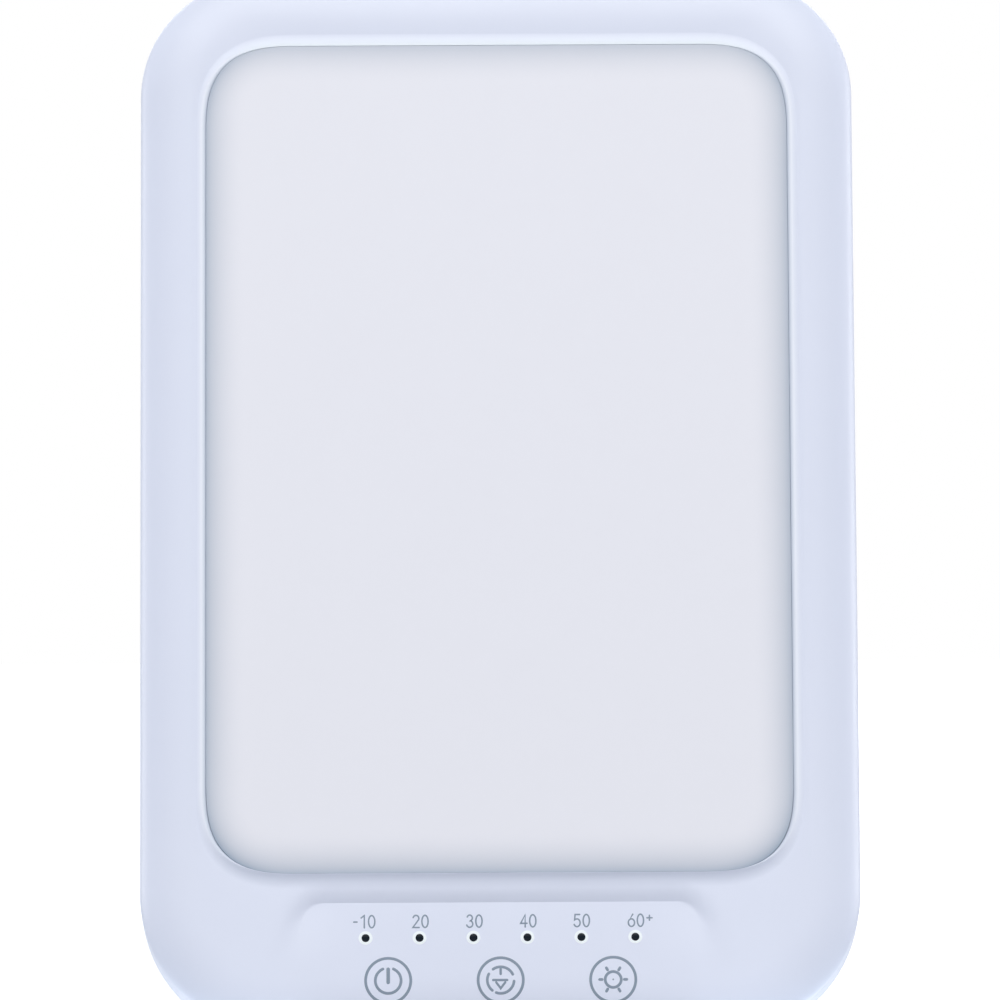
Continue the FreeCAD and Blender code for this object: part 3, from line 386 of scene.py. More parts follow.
def bay_depth(points):
    """How far the face sinks at each (x, z).

    Inside a rounded rectangle that ends at the line it is the drop, which grows less towards both
    ends and further down there. Outside it fades with (1 - distance / brow) to a power. Below the
    line's ends the brow widens and its fade turns into the eased one, which starts without an
    edge, so that the ends melt away.
    """
    points = np.atleast_2d(points)
    across = np.abs(points[:, 0]) - (BAY_HALF - BAY_CORNER)
    up = points[:, 1] - (BAY_LINE - BAY_CORNER)
    outside = np.hypot(np.maximum(across, 0), np.maximum(up, 0)) - BAY_CORNER
    brow = BROW + (BROW_SPREAD - BROW) * eased((SPREAD_TOP - points[:, 1]) / SPREAD_HEIGHT)
    share = np.clip(outside / brow, 0, 1)
    melt = eased((MELT_TOP - points[:, 1]) / MELT_HEIGHT)
    drop = BAY_DROP * (1 - DROP_LOSS * eased((np.abs(points[:, 0]) - LOSS_START) / LOSS_WIDTH))
    drop *= 1 - (END_LOSS * eased((np.abs(points[:, 0]) - END_START) / END_WIDTH)
                 * eased((BAY_LINE - points[:, 1]) / END_HEIGHT))
    return drop * ((1 - melt) * (1 - share) ** BROW_POWER + melt * (1 - eased(share)))


print(f"bay {2 * BAY_HALF:.0f} mm wide and {BAY_DROP:.2f} mm deep, its line {BAY_LINE:.1f} mm up")

# %% Sizes of the profile
SEAM_CHAMFER = 0.25
WALL_DEPTHS = (-SEAM_CHAMFER, -1.4, -2.5)
SHOULDER_WIDTH = 11.0
SHOULDER_START = -3.6
SHOULDER_ROWS = 22
WALL = 2.2
INNER_ROUND, INNER_ROWS = 2.5, 6
INNER_SHARES = (0.25, 0.5, 0.75, 1.0)
FACE_WALL = 2.6
FACE_INSIDE = FACE + FACE_WALL
BEAD_TOP, BEAD_SIDE, BEAD_BOTTOM = 2.9, 2.3, 3.1
BEAD_ROUND, BEAD_ROUND_SIDE, ROUND_DEPTH_SIDE = 0.09, 1.05, 0.52
BEAD_POWER, BEAD_POWER_SIDE, BEAD_POWER_BELOW = 2.0, 1.2, 2.2
BEAD_FADE = 5
BEAD_ROWS, ROUND_ROWS = 12, 6
VALLEY, VALLEY_BELOW = 0.2, 0.35
SIDE_LIFT = 0.58

# %% Widths and rows of the profile
CHIN_LOW, CHIN_HIGH = SHOULDER_WIDTH, WINDOW_BOTTOM - BEAD_BOTTOM
FIRST_ROWS = (21.8, 8)
BROW_ROWS = (22.3, 27.7, 14)
LINE_ROWS = (28.0, 28.15, 28.2, 28.25, 28.4)
FOOT_ROWS = (28.6, 31.1, 11)


def bead_width():
    """Width of the bead's outer slope at each station.

    It is that of the sides, plus what the top needs times a power of the normal's upward part,
    plus what the bottom needs times the normal's downward part.
    """
    return (BEAD_SIDE + (BEAD_TOP - BEAD_SIDE) * UPWARD ** BEAD_FADE
            + (BEAD_BOTTOM - BEAD_SIDE) * DOWNWARD)


def face_shares():
    """Shares of the way from the shoulder to the bead, one per row.

    They are heights on the chin that lie close together where the bay's line runs.
    """
    heights = np.concatenate([
        np.linspace(CHIN_LOW, *FIRST_ROWS)[1:],
        np.linspace(*BROW_ROWS),
        LINE_ROWS,
        np.linspace(*FOOT_ROWS),
        [CHIN_HIGH],
    ])
    return (heights - CHIN_LOW) / (CHIN_HIGH - CHIN_LOW)


print("rows on the face:", len(face_shares()))

# %% The loops of the bezel
def bezel_loops():
    """The profile's loops, outside first.

    The shoulder is an ellipse: inset = width (1 - cos t), depth = start + (level - start) sin t,
    where level is the depth of the face at its inner end. The face sinks to the bead's foot by
    valley * share squared, and the bead rises from there by share to a power. Its top is a
    quarter of an ellipse: growth = round (1 - sin t), depth = front + round (1 - cos t).
    """
    sideways = SIDEWAYS ** 2
    valley = VALLEY + (VALLEY_BELOW - VALLEY) * DOWNWARD
    loops = [at_depth(grown(panel_edge, -SEAM_CHAMFER), 0.0)]
    loops += [at_depth(panel_edge[0], depth) for depth in WALL_DEPTHS]
    shoulder_end = grown(panel_edge, -SHOULDER_WIDTH)
    face = FACE - SIDE_LIFT * sideways
    level = face + bay_depth(shoulder_end)
    for angle in np.linspace(0, math.pi / 2, SHOULDER_ROWS):
        inset = SHOULDER_WIDTH * (1 - math.cos(angle))
        depth = SHOULDER_START + (level - SHOULDER_START) * math.sin(angle)
        loops.append(at_depth(grown(panel_edge, -inset), depth))
    width = bead_width()
    bead_foot = grown(window_edge, width)
    for share in face_shares():
        points = shoulder_end + (bead_foot - shoulder_end) * share
        loops.append(at_depth(points, face + valley * share ** 2 + bay_depth(points)))
    power = (BEAD_POWER_SIDE + (BEAD_POWER - BEAD_POWER_SIDE) * UPWARD
             + (BEAD_POWER_BELOW - BEAD_POWER_SIDE) * DOWNWARD)
    inner_round = BEAD_ROUND + (BEAD_ROUND_SIDE - BEAD_ROUND) * sideways
    round_depth = BEAD_ROUND + (ROUND_DEPTH_SIDE - BEAD_ROUND) * sideways
    for share in np.linspace(0, 1, BEAD_ROWS)[1:]:
        rise = share ** power
        points = grown(window_edge, width + (inner_round - width) * share)
        base = face + valley + bay_depth(points)
        loops.append(at_depth(points, base + (LIP_FRONT - base) * rise))
    for angle in np.linspace(0, math.pi / 2, ROUND_ROWS)[1:]:
        growth = inner_round * (1 - math.sin(angle))
        depth = LIP_FRONT + round_depth * (1 - math.cos(angle))
        loops.append(at_depth(grown(window_edge, growth), depth))
    loops.append(at_depth(window_edge[0], FACE_INSIDE))
    inner_wall = grown(panel_edge, -WALL)
    inner_face = grown(panel_edge, -WALL - INNER_ROUND)
    for share in INNER_SHARES:
        points = window_edge[0] + (inner_face - window_edge[0]) * share
        loops.append(at_depth(points, FACE_INSIDE))
    for angle in np.linspace(0, math.pi / 2, INNER_ROWS)[1:]:
        inset = WALL + INNER_ROUND * (1 - math.sin(angle))
        depth = FACE_INSIDE + INNER_ROUND * (1 - math.cos(angle))
        loops.append(at_depth(grown(panel_edge, -inset), depth))
    loops.append(at_depth(inner_wall, 0.0))
    return loops


# %% The bezel, and where its tints go
CREST_POWER, ABOVE_POWER = 1.5, 6
UNDER_SHADE = 0.16
bezel_points = np.array(bezel_loops())
bezel = make_piece("bezel_shell", [skin(bezel_points, ring=True)], shell_plastic,
                   replaces=["front_bezel"])
# Masks for the painted highlights on the bead and the painted shade in the step behind it.
past_crest = np.arange(len(bezel_points))[:, None] - np.argmin(bezel_points[:, 0, 1])
uphill = np.clip(1 + past_crest / (BEAD_ROWS - 1), 0, 1)
downhill = np.clip(past_crest / (ROUND_ROWS - 1), 0, 1)
add_values(bezel, "painted_crest_highlight", uphill ** CREST_POWER * SIDEWAYS * (1 - DOWNWARD))
add_values(bezel, "painted_highlight_above", uphill ** CREST_POWER * UPWARD ** ABOVE_POWER)
add_values(bezel, "painted_throat_shade", downhill * SIDEWAYS + UNDER_SHADE * uphill * DOWNWARD)

# %% [markdown]
# ## The opal window
#
# The diffuser is a thick sheet of opal acrylic. Its front rolls off towards the edge, so it looks
# like a soft pillow in the frame. The roll-off is a parabola. Near the edge the sheet looks a
# little darker and bluer, as light that enters there is lost behind the frame and the recess shades
# it;
# that shade is painted. An attribute called rim holds how close each point is to the edge, less at
# the top and more in the corners, and the finish mixes a darker, bluer colour by it.

# %% Shape of the diffuser
diffuser_points = upright("diffuser_panel")
DIFFUSER_FRONT = diffuser_points[:, 1].min()
DIFFUSER_REAR = diffuser_points[:, 1].max()
RIM_OVERLAP = diffuser_points[:, 0].max() - (HALF_WIDTH - SIDE_FRAME)
RIM_GAP = 0.4
RIM_FRONT = FACE_INSIDE + RIM_GAP
CLEARANCE, CLEARANCE_BELOW, CLEARANCE_POWER = 0.02, 0.12, 0.5
CROWN_SINK_TOP, CROWN_SINK_SIDE, CROWN_SINK_BOTTOM = 0.12, 0.36, 0.45
REAR_ROWS = 3
ROLLOFF, ROLLOFF_ROWS = 9.0, 24


def diffuser_loops():
    """Back, rim and crown; the crown's depth is front + drop * (1 - share) squared.

    The gap to the bead is wider below, and the edge sinks under the bead by a value for the top,
    the sides and the bottom, blended by the squares of the normal's parts, which add up to one.
    """
    rim = grown(window_edge, RIM_OVERLAP)
    gap = CLEARANCE + (CLEARANCE_BELOW - CLEARANCE) * DOWNWARD ** CLEARANCE_POWER
    edge = (LIP_FRONT + CROWN_SINK_TOP * UPWARD ** 2 + CROWN_SINK_SIDE * SIDEWAYS ** 2
            + CROWN_SINK_BOTTOM * DOWNWARD ** 2)
    loops = [at_depth(rim, DIFFUSER_REAR), at_depth(rim, RIM_FRONT)]
    loops.append(at_depth(grown(window_edge, -gap), RIM_FRONT))
    for share in np.linspace(0, 1, ROLLOFF_ROWS):
        depth = DIFFUSER_FRONT + (edge - DIFFUSER_FRONT) * (1 - share) ** 2
        loops.append(at_depth(grown(window_edge, -gap - ROLLOFF * share), depth))
    return loops


# %% Finish of the diffuser
OPAL_COLOUR = (0.777, 0.790, 0.862)
# Painted shade: the darker, bluer colour near the diffuser's edge.
OPAL_PAINTED_SHADE = (0.275, 0.349, 0.455)
RIM_SHARE, EDGE_SHARE, CORNER_SHARE = 0.61, 0.15, 0.24
RIM_POWER, EDGE_POWER, CORNER_POWER = 2, 12, 4
TOP_EASE = 0.15
opal = with_painted_light(finish("opal_acrylic", OPAL_COLOUR, 0.38, drift=0.004, grain_depth=0.001),
              "rim", OPAL_PAINTED_SHADE)
diffuser = make_piece("opal_window", [skin(diffuser_loops())], opal,
                      replaces=["diffuser_panel"])
outwards = 1 - np.concatenate([np.zeros(REAR_ROWS), np.linspace(0, 1, ROLLOFF_ROWS)])[:, None]
# How much painted shade each point of the diffuser gets, by its nearness to the edge.
add_values(diffuser, "rim", RIM_SHARE * outwards ** RIM_POWER * (1 - TOP_EASE * UPWARD ** 2)
           + EDGE_SHARE * outwards ** EDGE_POWER * (1 - UPWARD ** 2)
           + CORNER_SHARE * outwards ** CORNER_POWER * SIDEWAYS * (2 * DOWNWARD + UPWARD))
print(f"diffuser front at {DIFFUSER_FRONT:.2f} mm, {DIFFUSER_FRONT - LIP_FRONT:.2f} mm "
      "under the bead")

# %% [markdown]
# ## Timer lights
#
# Six dark lenses, each the domed end of a pin that reaches through the face. A light is a profile
# turned about its own axis. A pale ring is printed round each. Cylinders would do from far away,
# but the small dome is what catches a highlight.

# %% Where the lights are
LIGHTS = 6
LIGHT_LINE = 20.26
LIGHT_PITCH = 11.95
light_places = [((i - (LIGHTS - 1) / 2) * LIGHT_PITCH, LIGHT_LINE) for i in range(LIGHTS)]


def face_at(place):
    """Depth of the chin at one place, or at an array of places: flat face or shoulder.

    On the face it is the face's level, the valley and the bay, as in the bezel's loops. On the
    shoulder it is the ellipse, with cos t = 1 - height / width and sin t from it.
    """
    points = np.atleast_2d(place)
    share = np.clip((points[:, 1] - CHIN_LOW) / (CHIN_HIGH - CHIN_LOW), 0, 1)
    on_face = np.stack([points[:, 0], np.maximum(points[:, 1], CHIN_LOW)], axis=1)
    level = FACE + VALLEY_BELOW * share ** 2 + bay_depth(on_face)
    cosine = np.clip(1 - points[:, 1] / SHOULDER_WIDTH, 0, 1)
    depth = SHOULDER_START + (level - SHOULDER_START) * np.sqrt(1 - cosine ** 2)
    return depth if np.ndim(place) > 1 else float(depth[0])


print("depth at the lights (mm):", [round(face_at(place), 2) for place in light_places])

# %% Shapes of the lenses, their rings and their bar
LENS_RADIUS, LENS_DOME = 0.9, 0.12
DOME_ROWS, DOME_END = 7, 0.97
RING_RADIUS, RING_ROUND, RING_EDGE = 1.55, 0.1, 0.3
PRINT_HEIGHT, INK_SINK = 0.03, 0.05
BAR_HALF, BAR_GAP, BAR_DEPTH = 1.5, 0.02, 1.2
lens_points = upright("indicator_lens_strip")


def turned(place, radii, depths, steps=32):
    """Loops of a profile (radius, depth) turned about an axis along Y through the place."""
    angle = np.linspace(0, 2 * math.pi, steps, endpoint=False)
    radii = np.asarray(radii, float)[:, None]
    depths = np.asarray(depths, float)[:, None]
    return np.stack([place[0] + radii * np.cos(angle),
                     depths + 0 * angle,
                     place[1] + radii * np.sin(angle)], axis=-1)


def lens_shell(place):
    """A pin with a dome: depth = face - dome * (1 - (r / R) squared)."""
    radii = LENS_RADIUS * np.cos(np.linspace(0, DOME_END, DOME_ROWS) * math.pi / 2)
    depths = face_at(place) - LENS_DOME * (1 - (radii / LENS_RADIUS) ** 2) - PRINT_HEIGHT
    return skin(turned(place, [LENS_RADIUS, *radii], [FACE_INSIDE, *depths]))


def ring_shell(place):
    """A flat washer of paint: inner and outer wall with a slightly rounded top."""
    radii = [LENS_RADIUS, LENS_RADIUS, RING_RADIUS - RING_ROUND, RING_RADIUS, RING_RADIUS]
    depths = np.array([INK_SINK, -PRINT_HEIGHT, -PRINT_HEIGHT, -RING_EDGE * PRINT_HEIGHT,
                       INK_SINK])
    return skin(turned(place, radii, face_at(place) + depths), ring=True)


def lens_bar_shell():
    """The bar that joins the six pins behind the face, as a box with its own four walls."""
    left, right = lens_points[:, 0].min(), lens_points[:, 0].max()
    corners = np.array([(left, LIGHT_LINE - BAR_HALF), (right, LIGHT_LINE - BAR_HALF),
                        (right, LIGHT_LINE + BAR_HALF), (left, LIGHT_LINE + BAR_HALF)])
    return skin([at_depth(corners, FACE_INSIDE + BAR_GAP),
                 at_depth(corners, FACE_INSIDE + BAR_DEPTH)])


# %% The lenses and their rings
dark_lens = finish("dark_lens", (0.004, 0.009, 0.016), 0.2, grain_depth=0.0005, gloss_spread=0.02,
                   specular=0.08)
white_print = finish("white_print", (0.86, 0.92, 0.96), 0.5)
make_piece("timer_lenses", [lens_shell(place) for place in light_places] + [lens_bar_shell()],
           dark_lens, replaces=["indicator_lens_strip"])
make_piece("timer_light_rings", [ring_shell(place) for place in light_places],
           white_print)

# %% [markdown]
# ## Printed marks
#
# The minutes over the lights, the rings of the touch keys and the icons in them are pad-printed
# ink: a film a few hundredths of a millimetre thick that follows the face. One could paint them
# with a texture, but then they would blur up close. A stroke is a thin ribbon with round ends,
# carried along a path, and its height is taken from the same formula as the bezel's face. Each
# stroke of a number or an icon lies two thousandths higher than the one before it, so that no two
# tops share a plane.

# %% Ribbons of ink
END_STEPS, END_REACH = 5, 0.98
MOST_STRETCH = 2.0
SECTION_TOP, SECTION_EDGE = 0.8, 0.4
STROKE_LIFT = 0.002


def with_round_ends(path, radius):
    """The path with more points past both ends, and its half width at every point.

    On the last radius, t goes from 0 to nearly 1 and the half width is radius * sqrt(1 - t
    squared).
    """
    bulge = np.sin(np.linspace(0, math.pi / 2, END_STEPS + 1))[:-1, None]
    head = (path[0] - path[1]) / np.linalg.norm(path[0] - path[1])
    tail = (path[-1] - path[-2]) / np.linalg.norm(path[-1] - path[-2])
    first = path[0] + head * radius * END_REACH * (1 - bulge)
    last = path[-1] + tail * radius * END_REACH * bulge[1:]
    path = np.concatenate([first, path, last, path[-1:] + tail * radius * END_REACH])
    reach = np.concatenate([1 - bulge[:, 0], np.zeros(len(path) - 2 * END_STEPS),
                            bulge[1:, 0], [1.0]])
    return path, radius * np.sqrt(np.clip(1 - (END_REACH * reach) ** 2, 0, 1))


def ribbon(path, width, closed=False, lift=0.0):
    """A closed shell: a flat six-sided section carried along a path of (x, z) points.

    At a bend the section turns half way and widens by 1 / cos(half the turn), at most twofold.
    """
    path = np.asarray(path, float)
    if closed:
        half = np.full(len(path), width / 2)
    else:
        path, half = with_round_ends(path, width / 2)
    before = path - np.roll(path, 1, axis=0)
    after = np.roll(path, -1, axis=0) - path
    if not closed:
        before[0], after[-1] = after[0], before[-1]
    before /= np.linalg.norm(before, axis=1, keepdims=True)
    after /= np.linalg.norm(after, axis=1, keepdims=True)
    middle = before + after
    middle /= np.linalg.norm(middle, axis=1, keepdims=True)
    stretch = 1 / np.clip(np.einsum("ij,ij->i", middle, after), 1 / MOST_STRETCH, 1)
    side = np.stack([-middle[:, 1], middle[:, 0]], axis=1) * (half * stretch)[:, None]
    edge, top = -SECTION_EDGE * PRINT_HEIGHT, -PRINT_HEIGHT - lift
    section = [(-1.0, INK_SINK), (-1.0, edge), (-SECTION_TOP, top),
               (SECTION_TOP, top), (1.0, edge), (1.0, INK_SINK)]
    columns = []
    for share, height in section:
        points = path + side * share
        columns.append(at_depth(points, face_at(points) + height))
    return skin(np.stack(columns, axis=1), ring=closed)


# %% Paths for the ribbons
def arc(centre, radius, start, end, steps=24, tall=1.0):
    """Points of an arc in degrees counter-clockwise from the right; tall stretches its height."""
    angle = np.radians(np.linspace(start, end, steps))
    return np.stack([centre[0] + radius * np.cos(angle),
                     centre[1] + radius * tall * np.sin(angle)], axis=1)


def circle(centre, radius, steps=64):
    """A full circle whose last point isn't its first again, for a closed ribbon."""
    return arc(centre, radius, 0, 360 - 360 / steps, steps)


# %% [markdown]
# ## Figures from lines and arcs
#
# The figures are plain strokes of our own. Each is drawn in a cell 1 wide and 2 high and then
# scaled, so the table stays readable: it lists paths, and whether each path is closed. A font
# would do it too, but a font's outlines are filled areas with serifs of their own, and its strokes
# can't follow the slope of the bay.

# %% The figures
def joined(*parts):
    """One path from several, end to end."""
    return np.concatenate([np.asarray(part, float) for part in parts])


FIGURES = {
    "0": [(arc((0.5, 1.0), 0.5, 0, 345, 32, tall=2.0), True)],
    "1": [(joined([(0.12, 1.62), (0.62, 2.0), (0.62, 0.0)]), False)],
    "2": [(joined(arc((0.5, 1.5), 0.46, 165, -35, 16, tall=1.08),
                  [(0.0, 0.0), (1.0, 0.0)]), False)],
    "3": [(joined(arc((0.47, 1.52), 0.42, 160, -80, 16, tall=1.14),
                  arc((0.46, 0.53), 0.5, 80, -160, 18, tall=1.06)), False)],
    "4": [(joined([(0.72, 0.0), (0.72, 2.0), (0.0, 0.6), (1.02, 0.6)]), False)],
    "5": [(joined([(0.9, 2.0), (0.16, 2.0), (0.08, 1.12)],
                  arc((0.46, 0.64), 0.5, 110, -155, 18, tall=1.28)), False)],
    "6": [(joined([(0.72, 2.0)], arc((0.5, 0.62), 0.5, 158, -202, 28, tall=1.24)), False)],
    "-": [([(0.1, 0.95), (0.62, 0.95)], False)],
    "+": [([(0.1, 1.4), (0.9, 1.4)], False), ([(0.5, 1.0), (0.5, 1.8)], False)],
}
print("figures:", " ".join(FIGURES))

# %% The numbers over the lights
FIGURE_HEIGHT, FIGURE_WIDTH = 2.75, 1.38
FIGURE_GAP = 0.62
FIGURE_STROKE = 0.34
FIGURE_LINE = 22.6
ADVANCE = {"-": 0.72, "1": 0.86}
LABELS = ["-10", "20", "30", "40", "50", "60+"]
LABEL_SHIFTS = [-0.35, 0.22, 0.22, 0.2, 0.1, 1.15]


def label_strokes(text, middle):
    """The strokes of a number, in millimetres, with its cells side by side round the middle."""
    widths = [FIGURE_WIDTH * ADVANCE.get(mark, 1.0) for mark in text]
    start = middle - (sum(widths) + FIGURE_GAP * (len(text) - 1)) / 2
    strokes = []
    for mark, width in zip(text, widths):
        for path, closed in FIGURES[mark]:
            scaled = np.asarray(path, float) * (FIGURE_WIDTH, FIGURE_HEIGHT / 2)
            strokes.append((scaled + (start, FIGURE_LINE), closed))
        start += width + FIGURE_GAP
    return strokes


ink = finish("grey_ink", (0.205, 0.262, 0.34), 0.55, drift=0.03, grain_depth=0.001)
figure_shells = []
for text, place, shift in zip(LABELS, light_places, LABEL_SHIFTS):
    strokes = label_strokes(text, place[0] + shift)
    figure_shells += [ribbon(path, FIGURE_STROKE, closed, STROKE_LIFT * i)
                      for i, (path, closed) in enumerate(strokes)]
make_piece("minute_figures", figure_shells, ink)

# %% [markdown]
# ## Touch keys
#
# The keys are places behind the face that feel a finger, so nothing moves and there is no gap:
# what one sees is a printed ring and an icon. Every icon is a handful of arcs and bars about the
# ring's middle, so each is a short list, and the ribbons do the rest. A line of such a list gives
# the path, the width of its stroke, and whether it is closed.

# %% The three icons
KEY_STROKE = 0.62


def power_icon(x, z):
    """A broken ring with a bar in its gap."""
    return [(arc((x, z), 2.85, 114, 426, 48), KEY_STROKE, False),
            ([(x, z + 2.55), (x, z - 0.4)], 0.8, False)]


def timer_icon(x, z):
    """A dial in three arcs, with a stem above and a pointer under a bar."""
    dial = [(arc((x, z), 2.96, start, end, 24), 0.6, False)
            for start, end in ((25, 125), (152, 231), (250, 355))]
    return dial + [([(x, z + 2.7), (x, z + 1.35)], 0.55, False),
                   ([(x - 1.65, z), (x + 1.42, z)], 0.55, False),
                   ([(x - 1.0, z - 0.5), (x, z - 1.85), (x + 1.0, z - 0.5)], 0.5, False)]


def brightness_icon(x, z):
    """A small sun: a ring, six rays and a dot."""
    angles = np.radians(np.arange(0, 360, 60))
    rays = [([(x + 2.45 * math.cos(a), z + 2.45 * math.sin(a)),
              (x + 3.0 * math.cos(a), z + 3.0 * math.sin(a))], KEY_STROKE, False)
            for a in angles]
    return [(circle((x, z), 1.77), KEY_STROKE, True),
            (circle((x, z), 0.12, 16), 0.16, True)] + rays


# %% The keys' rings and icons
KEY_LINE = 10.7
KEY_PITCH = 24.9
KEY_RING = 5.0
key_places = [(-KEY_PITCH, KEY_LINE), (0.0, KEY_LINE), (KEY_PITCH, KEY_LINE)]
icons = [power_icon, timer_icon, brightness_icon]
ring_shells = [ribbon(circle(place, KEY_RING, 96), KEY_STROKE, True) for place in key_places]
icon_shells = []
for icon, place in zip(icons, key_places):
    icon_shells += [ribbon(path, width, closed, STROKE_LIFT * i)
                    for i, (path, width, closed) in enumerate(icon(*place))]
make_piece("key_rings", ring_shells, ink)
make_piece("key_icons", icon_shells, ink)

# %% [markdown]
# ## Finishes of the construction
#
# Every solid that isn't replaced keeps its CAD mesh, which is never touched, and only gets a
# better finish. The record names a slot for each node, so one table from slot to finish dresses
# them all. Rolled and drawn metals get a stretched noise for their marks, foam a deeper bump, and
# the rest the same recipe as the shell with other numbers.

# %% Two more ways to finish
CLEARNESS = 0.9


def stretched(material, stretch):
    """Squeezes a finish's noise along one axis, as rolling or brushing leaves it."""
    nodes, links = material.node_tree.nodes, material.node_tree.links
    coordinates = next(node for node in nodes if node.bl_idname == "ShaderNodeTexCoord")
    mapping = nodes.new("ShaderNodeMapping")
    mapping.inputs["Scale"].default_value = stretch
    targets = [link.to_socket for link in coordinates.outputs["Object"].links]
    links.new(coordinates.outputs["Object"], mapping.inputs["Vector"])
    for socket in targets:
        links.new(mapping.outputs["Vector"], socket)
    return material


def clear_finish(name):
    """A polished finish that lets most of the light through."""
    material = finish(name, (0.92, 0.96, 0.97), 0.06, grain_depth=0.0003, gloss_spread=0.02)
    shader = material.node_tree.nodes["Principled BSDF"]
    shader.inputs["Transmission Weight"].default_value = CLEARNESS
    return material


# %% A table of finishes
finishes = {
    "shell": shell_plastic,
    "clear_acrylic": clear_finish("clear_acrylic"),
    "film": finish("white_film", (0.87, 0.87, 0.88), 0.5, grain_depth=0.002),
    "foam": finish("dark_foam", (0.03, 0.03, 0.034), 0.9, drift=0.2, grain_scale=1500.0,
                   grain_depth=0.08),
    "tray": stretched(finish("rolled_aluminium", (0.72, 0.73, 0.74), 0.34, metallic=1.0,
                             grain_scale=1800.0, gloss_spread=0.12), (0.04, 1.0, 1.0)),
    "led": finish("phosphor", (0.80, 0.66, 0.20), 0.45, grain_depth=0.002),
    "circuit": finish("green_laminate", (0.012, 0.10, 0.03), 0.28, drift=0.12, drift_scale=400.0),
    "strip": finish("white_laminate", (0.82, 0.82, 0.80), 0.3),
    "component": finish("moulded_black", (0.018, 0.018, 0.020), 0.5, drift=0.1),
    "connector": finish("natural_nylon", (0.74, 0.70, 0.60), 0.42),
    "lead": finish("wire_cover", (0.03, 0.03, 0.033), 0.55, drift=0.1),
    "lens": dark_lens,
    "steel": stretched(finish("zinc_plated_steel", (0.55, 0.56, 0.57), 0.32, metallic=1.0,
                              drift=0.05, drift_scale=300.0, gloss_spread=0.1), (1.0, 1.0, 0.2)),
    "brass": finish("plated_brass", (0.66, 0.44, 0.11), 0.25, metallic=1.0),
    "foot_rubber": finish("soft_grey_rubber", (0.21, 0.22, 0.26), 0.78, drift=0.06,
                          grain_scale=1800.0, grain_depth=0.02, specular=0.35),
}
for row in frame["record"]["subparts"]:
    node = frame["nodes"][row["node"]]
    for slot in node.material_slots:
        if row["material_slot"] in finishes:
            slot.material = finishes[row["material_slot"]]
print("finishes:", len(finishes))

# %% [markdown]
# ## Floor, light and camera
#
# A plain product shot: one large soft lamp in front and well above, so that slopes that face up
# are lighter and the brow over the lights is darker, and a dim, slightly blue room that keeps the
# shades open. Two small lamps beside the panel draw its long edges, a low one lifts the lower rim
# and one behind lights the back. The floor is lit like any matt floor and adds a glow of its own
# for the camera, so it reads white and still keeps a soft shadow. Raising the lamps instead would
# bleach the lamp's own colours. A white table would also throw light up at the two lower corners.
# The glow can't, because only the camera sees it, so a small card under each corner does that.

# %% What only the camera sees
def seen_by_camera(nodes, links):
    """1 for what the camera, a reflection or a clear part sees, and 0 for soft bounced light."""
    path = nodes.new("ShaderNodeLightPath")
    total = path.outputs["Is Camera Ray"]
    for name in ("Is Glossy Ray", "Is Transmission Ray"):
        add = nodes.new("ShaderNodeMath")
        add.operation = "ADD"
        add.use_clamp = True
        links.new(total, add.inputs[0])
        links.new(path.outputs[name], add.inputs[1])
        total = add.outputs[0]
    return total


# %% Finish of the floor
FLOOR_COLOUR = (0.46, 0.46, 0.47, 1.0)
FLOOR_ROUGHNESS = 0.9
FLOOR_GLOW = 0.69
GLOW_NEAR, GLOW_FAR = 0.45, 1.1


def floor_finish():
    """A matt floor with a glow that rises from FLOOR_GLOW near the lamp to 1 further away."""
    material = bpy.data.materials.new("studio_floor")
    material.use_nodes = True
    nodes, links = material.node_tree.nodes, material.node_tree.links
    shader = nodes["Principled BSDF"]
    shader.inputs["Base Color"].default_value = FLOOR_COLOUR
    shader.inputs["Roughness"].default_value = FLOOR_ROUGHNESS
    shader.inputs["Specular IOR Level"].default_value = 0.0
    glow = nodes.new("ShaderNodeEmission")
    together = nodes.new("ShaderNodeAddShader")
    seen = seen_by_camera(nodes, links)
    coordinates = nodes.new("ShaderNodeTexCoord")
    distance = nodes.new("ShaderNodeVectorMath")
    distance.operation = "LENGTH"
    links.new(coordinates.outputs["Object"], distance.inputs[0])
    rise = nodes.new("ShaderNodeMapRange")
    rise.inputs["From Min"].default_value = GLOW_NEAR
    rise.inputs["From Max"].default_value = GLOW_FAR
    rise.inputs["To Min"].default_value = FLOOR_GLOW
    links.new(distance.outputs["Value"], rise.inputs["Value"])
    strength = nodes.new("ShaderNodeMath")
    strength.operation = "MULTIPLY"
    links.new(rise.outputs["Result"], strength.inputs[1])
    links.new(seen, strength.inputs[0])
    links.new(strength.outputs[0], glow.inputs["Strength"])
    links.new(shader.outputs[0], together.inputs[0])
    links.new(glow.outputs[0], together.inputs[1])
    links.new(together.outputs[0], nodes["Material Output"].inputs["Surface"])
    return material


# %% Floor
FLOOR_HALF = 6.0
floor_mesh = bpy.data.meshes.new("studio_floor")
floor_mesh.from_pydata([(-FLOOR_HALF, -FLOOR_HALF, 0), (FLOOR_HALF, -FLOOR_HALF, 0),
                        (FLOOR_HALF, FLOOR_HALF, 0), (-FLOOR_HALF, FLOOR_HALF, 0)],
                       [], [(0, 1, 2, 3)])
floor = bpy.data.objects.new("studio_floor", floor_mesh)
floor_mesh.materials.append(floor_finish())
bpy.context.scene.collection.objects.link(floor)
print(f"floor {2 * FLOOR_HALF:.0f} m wide")

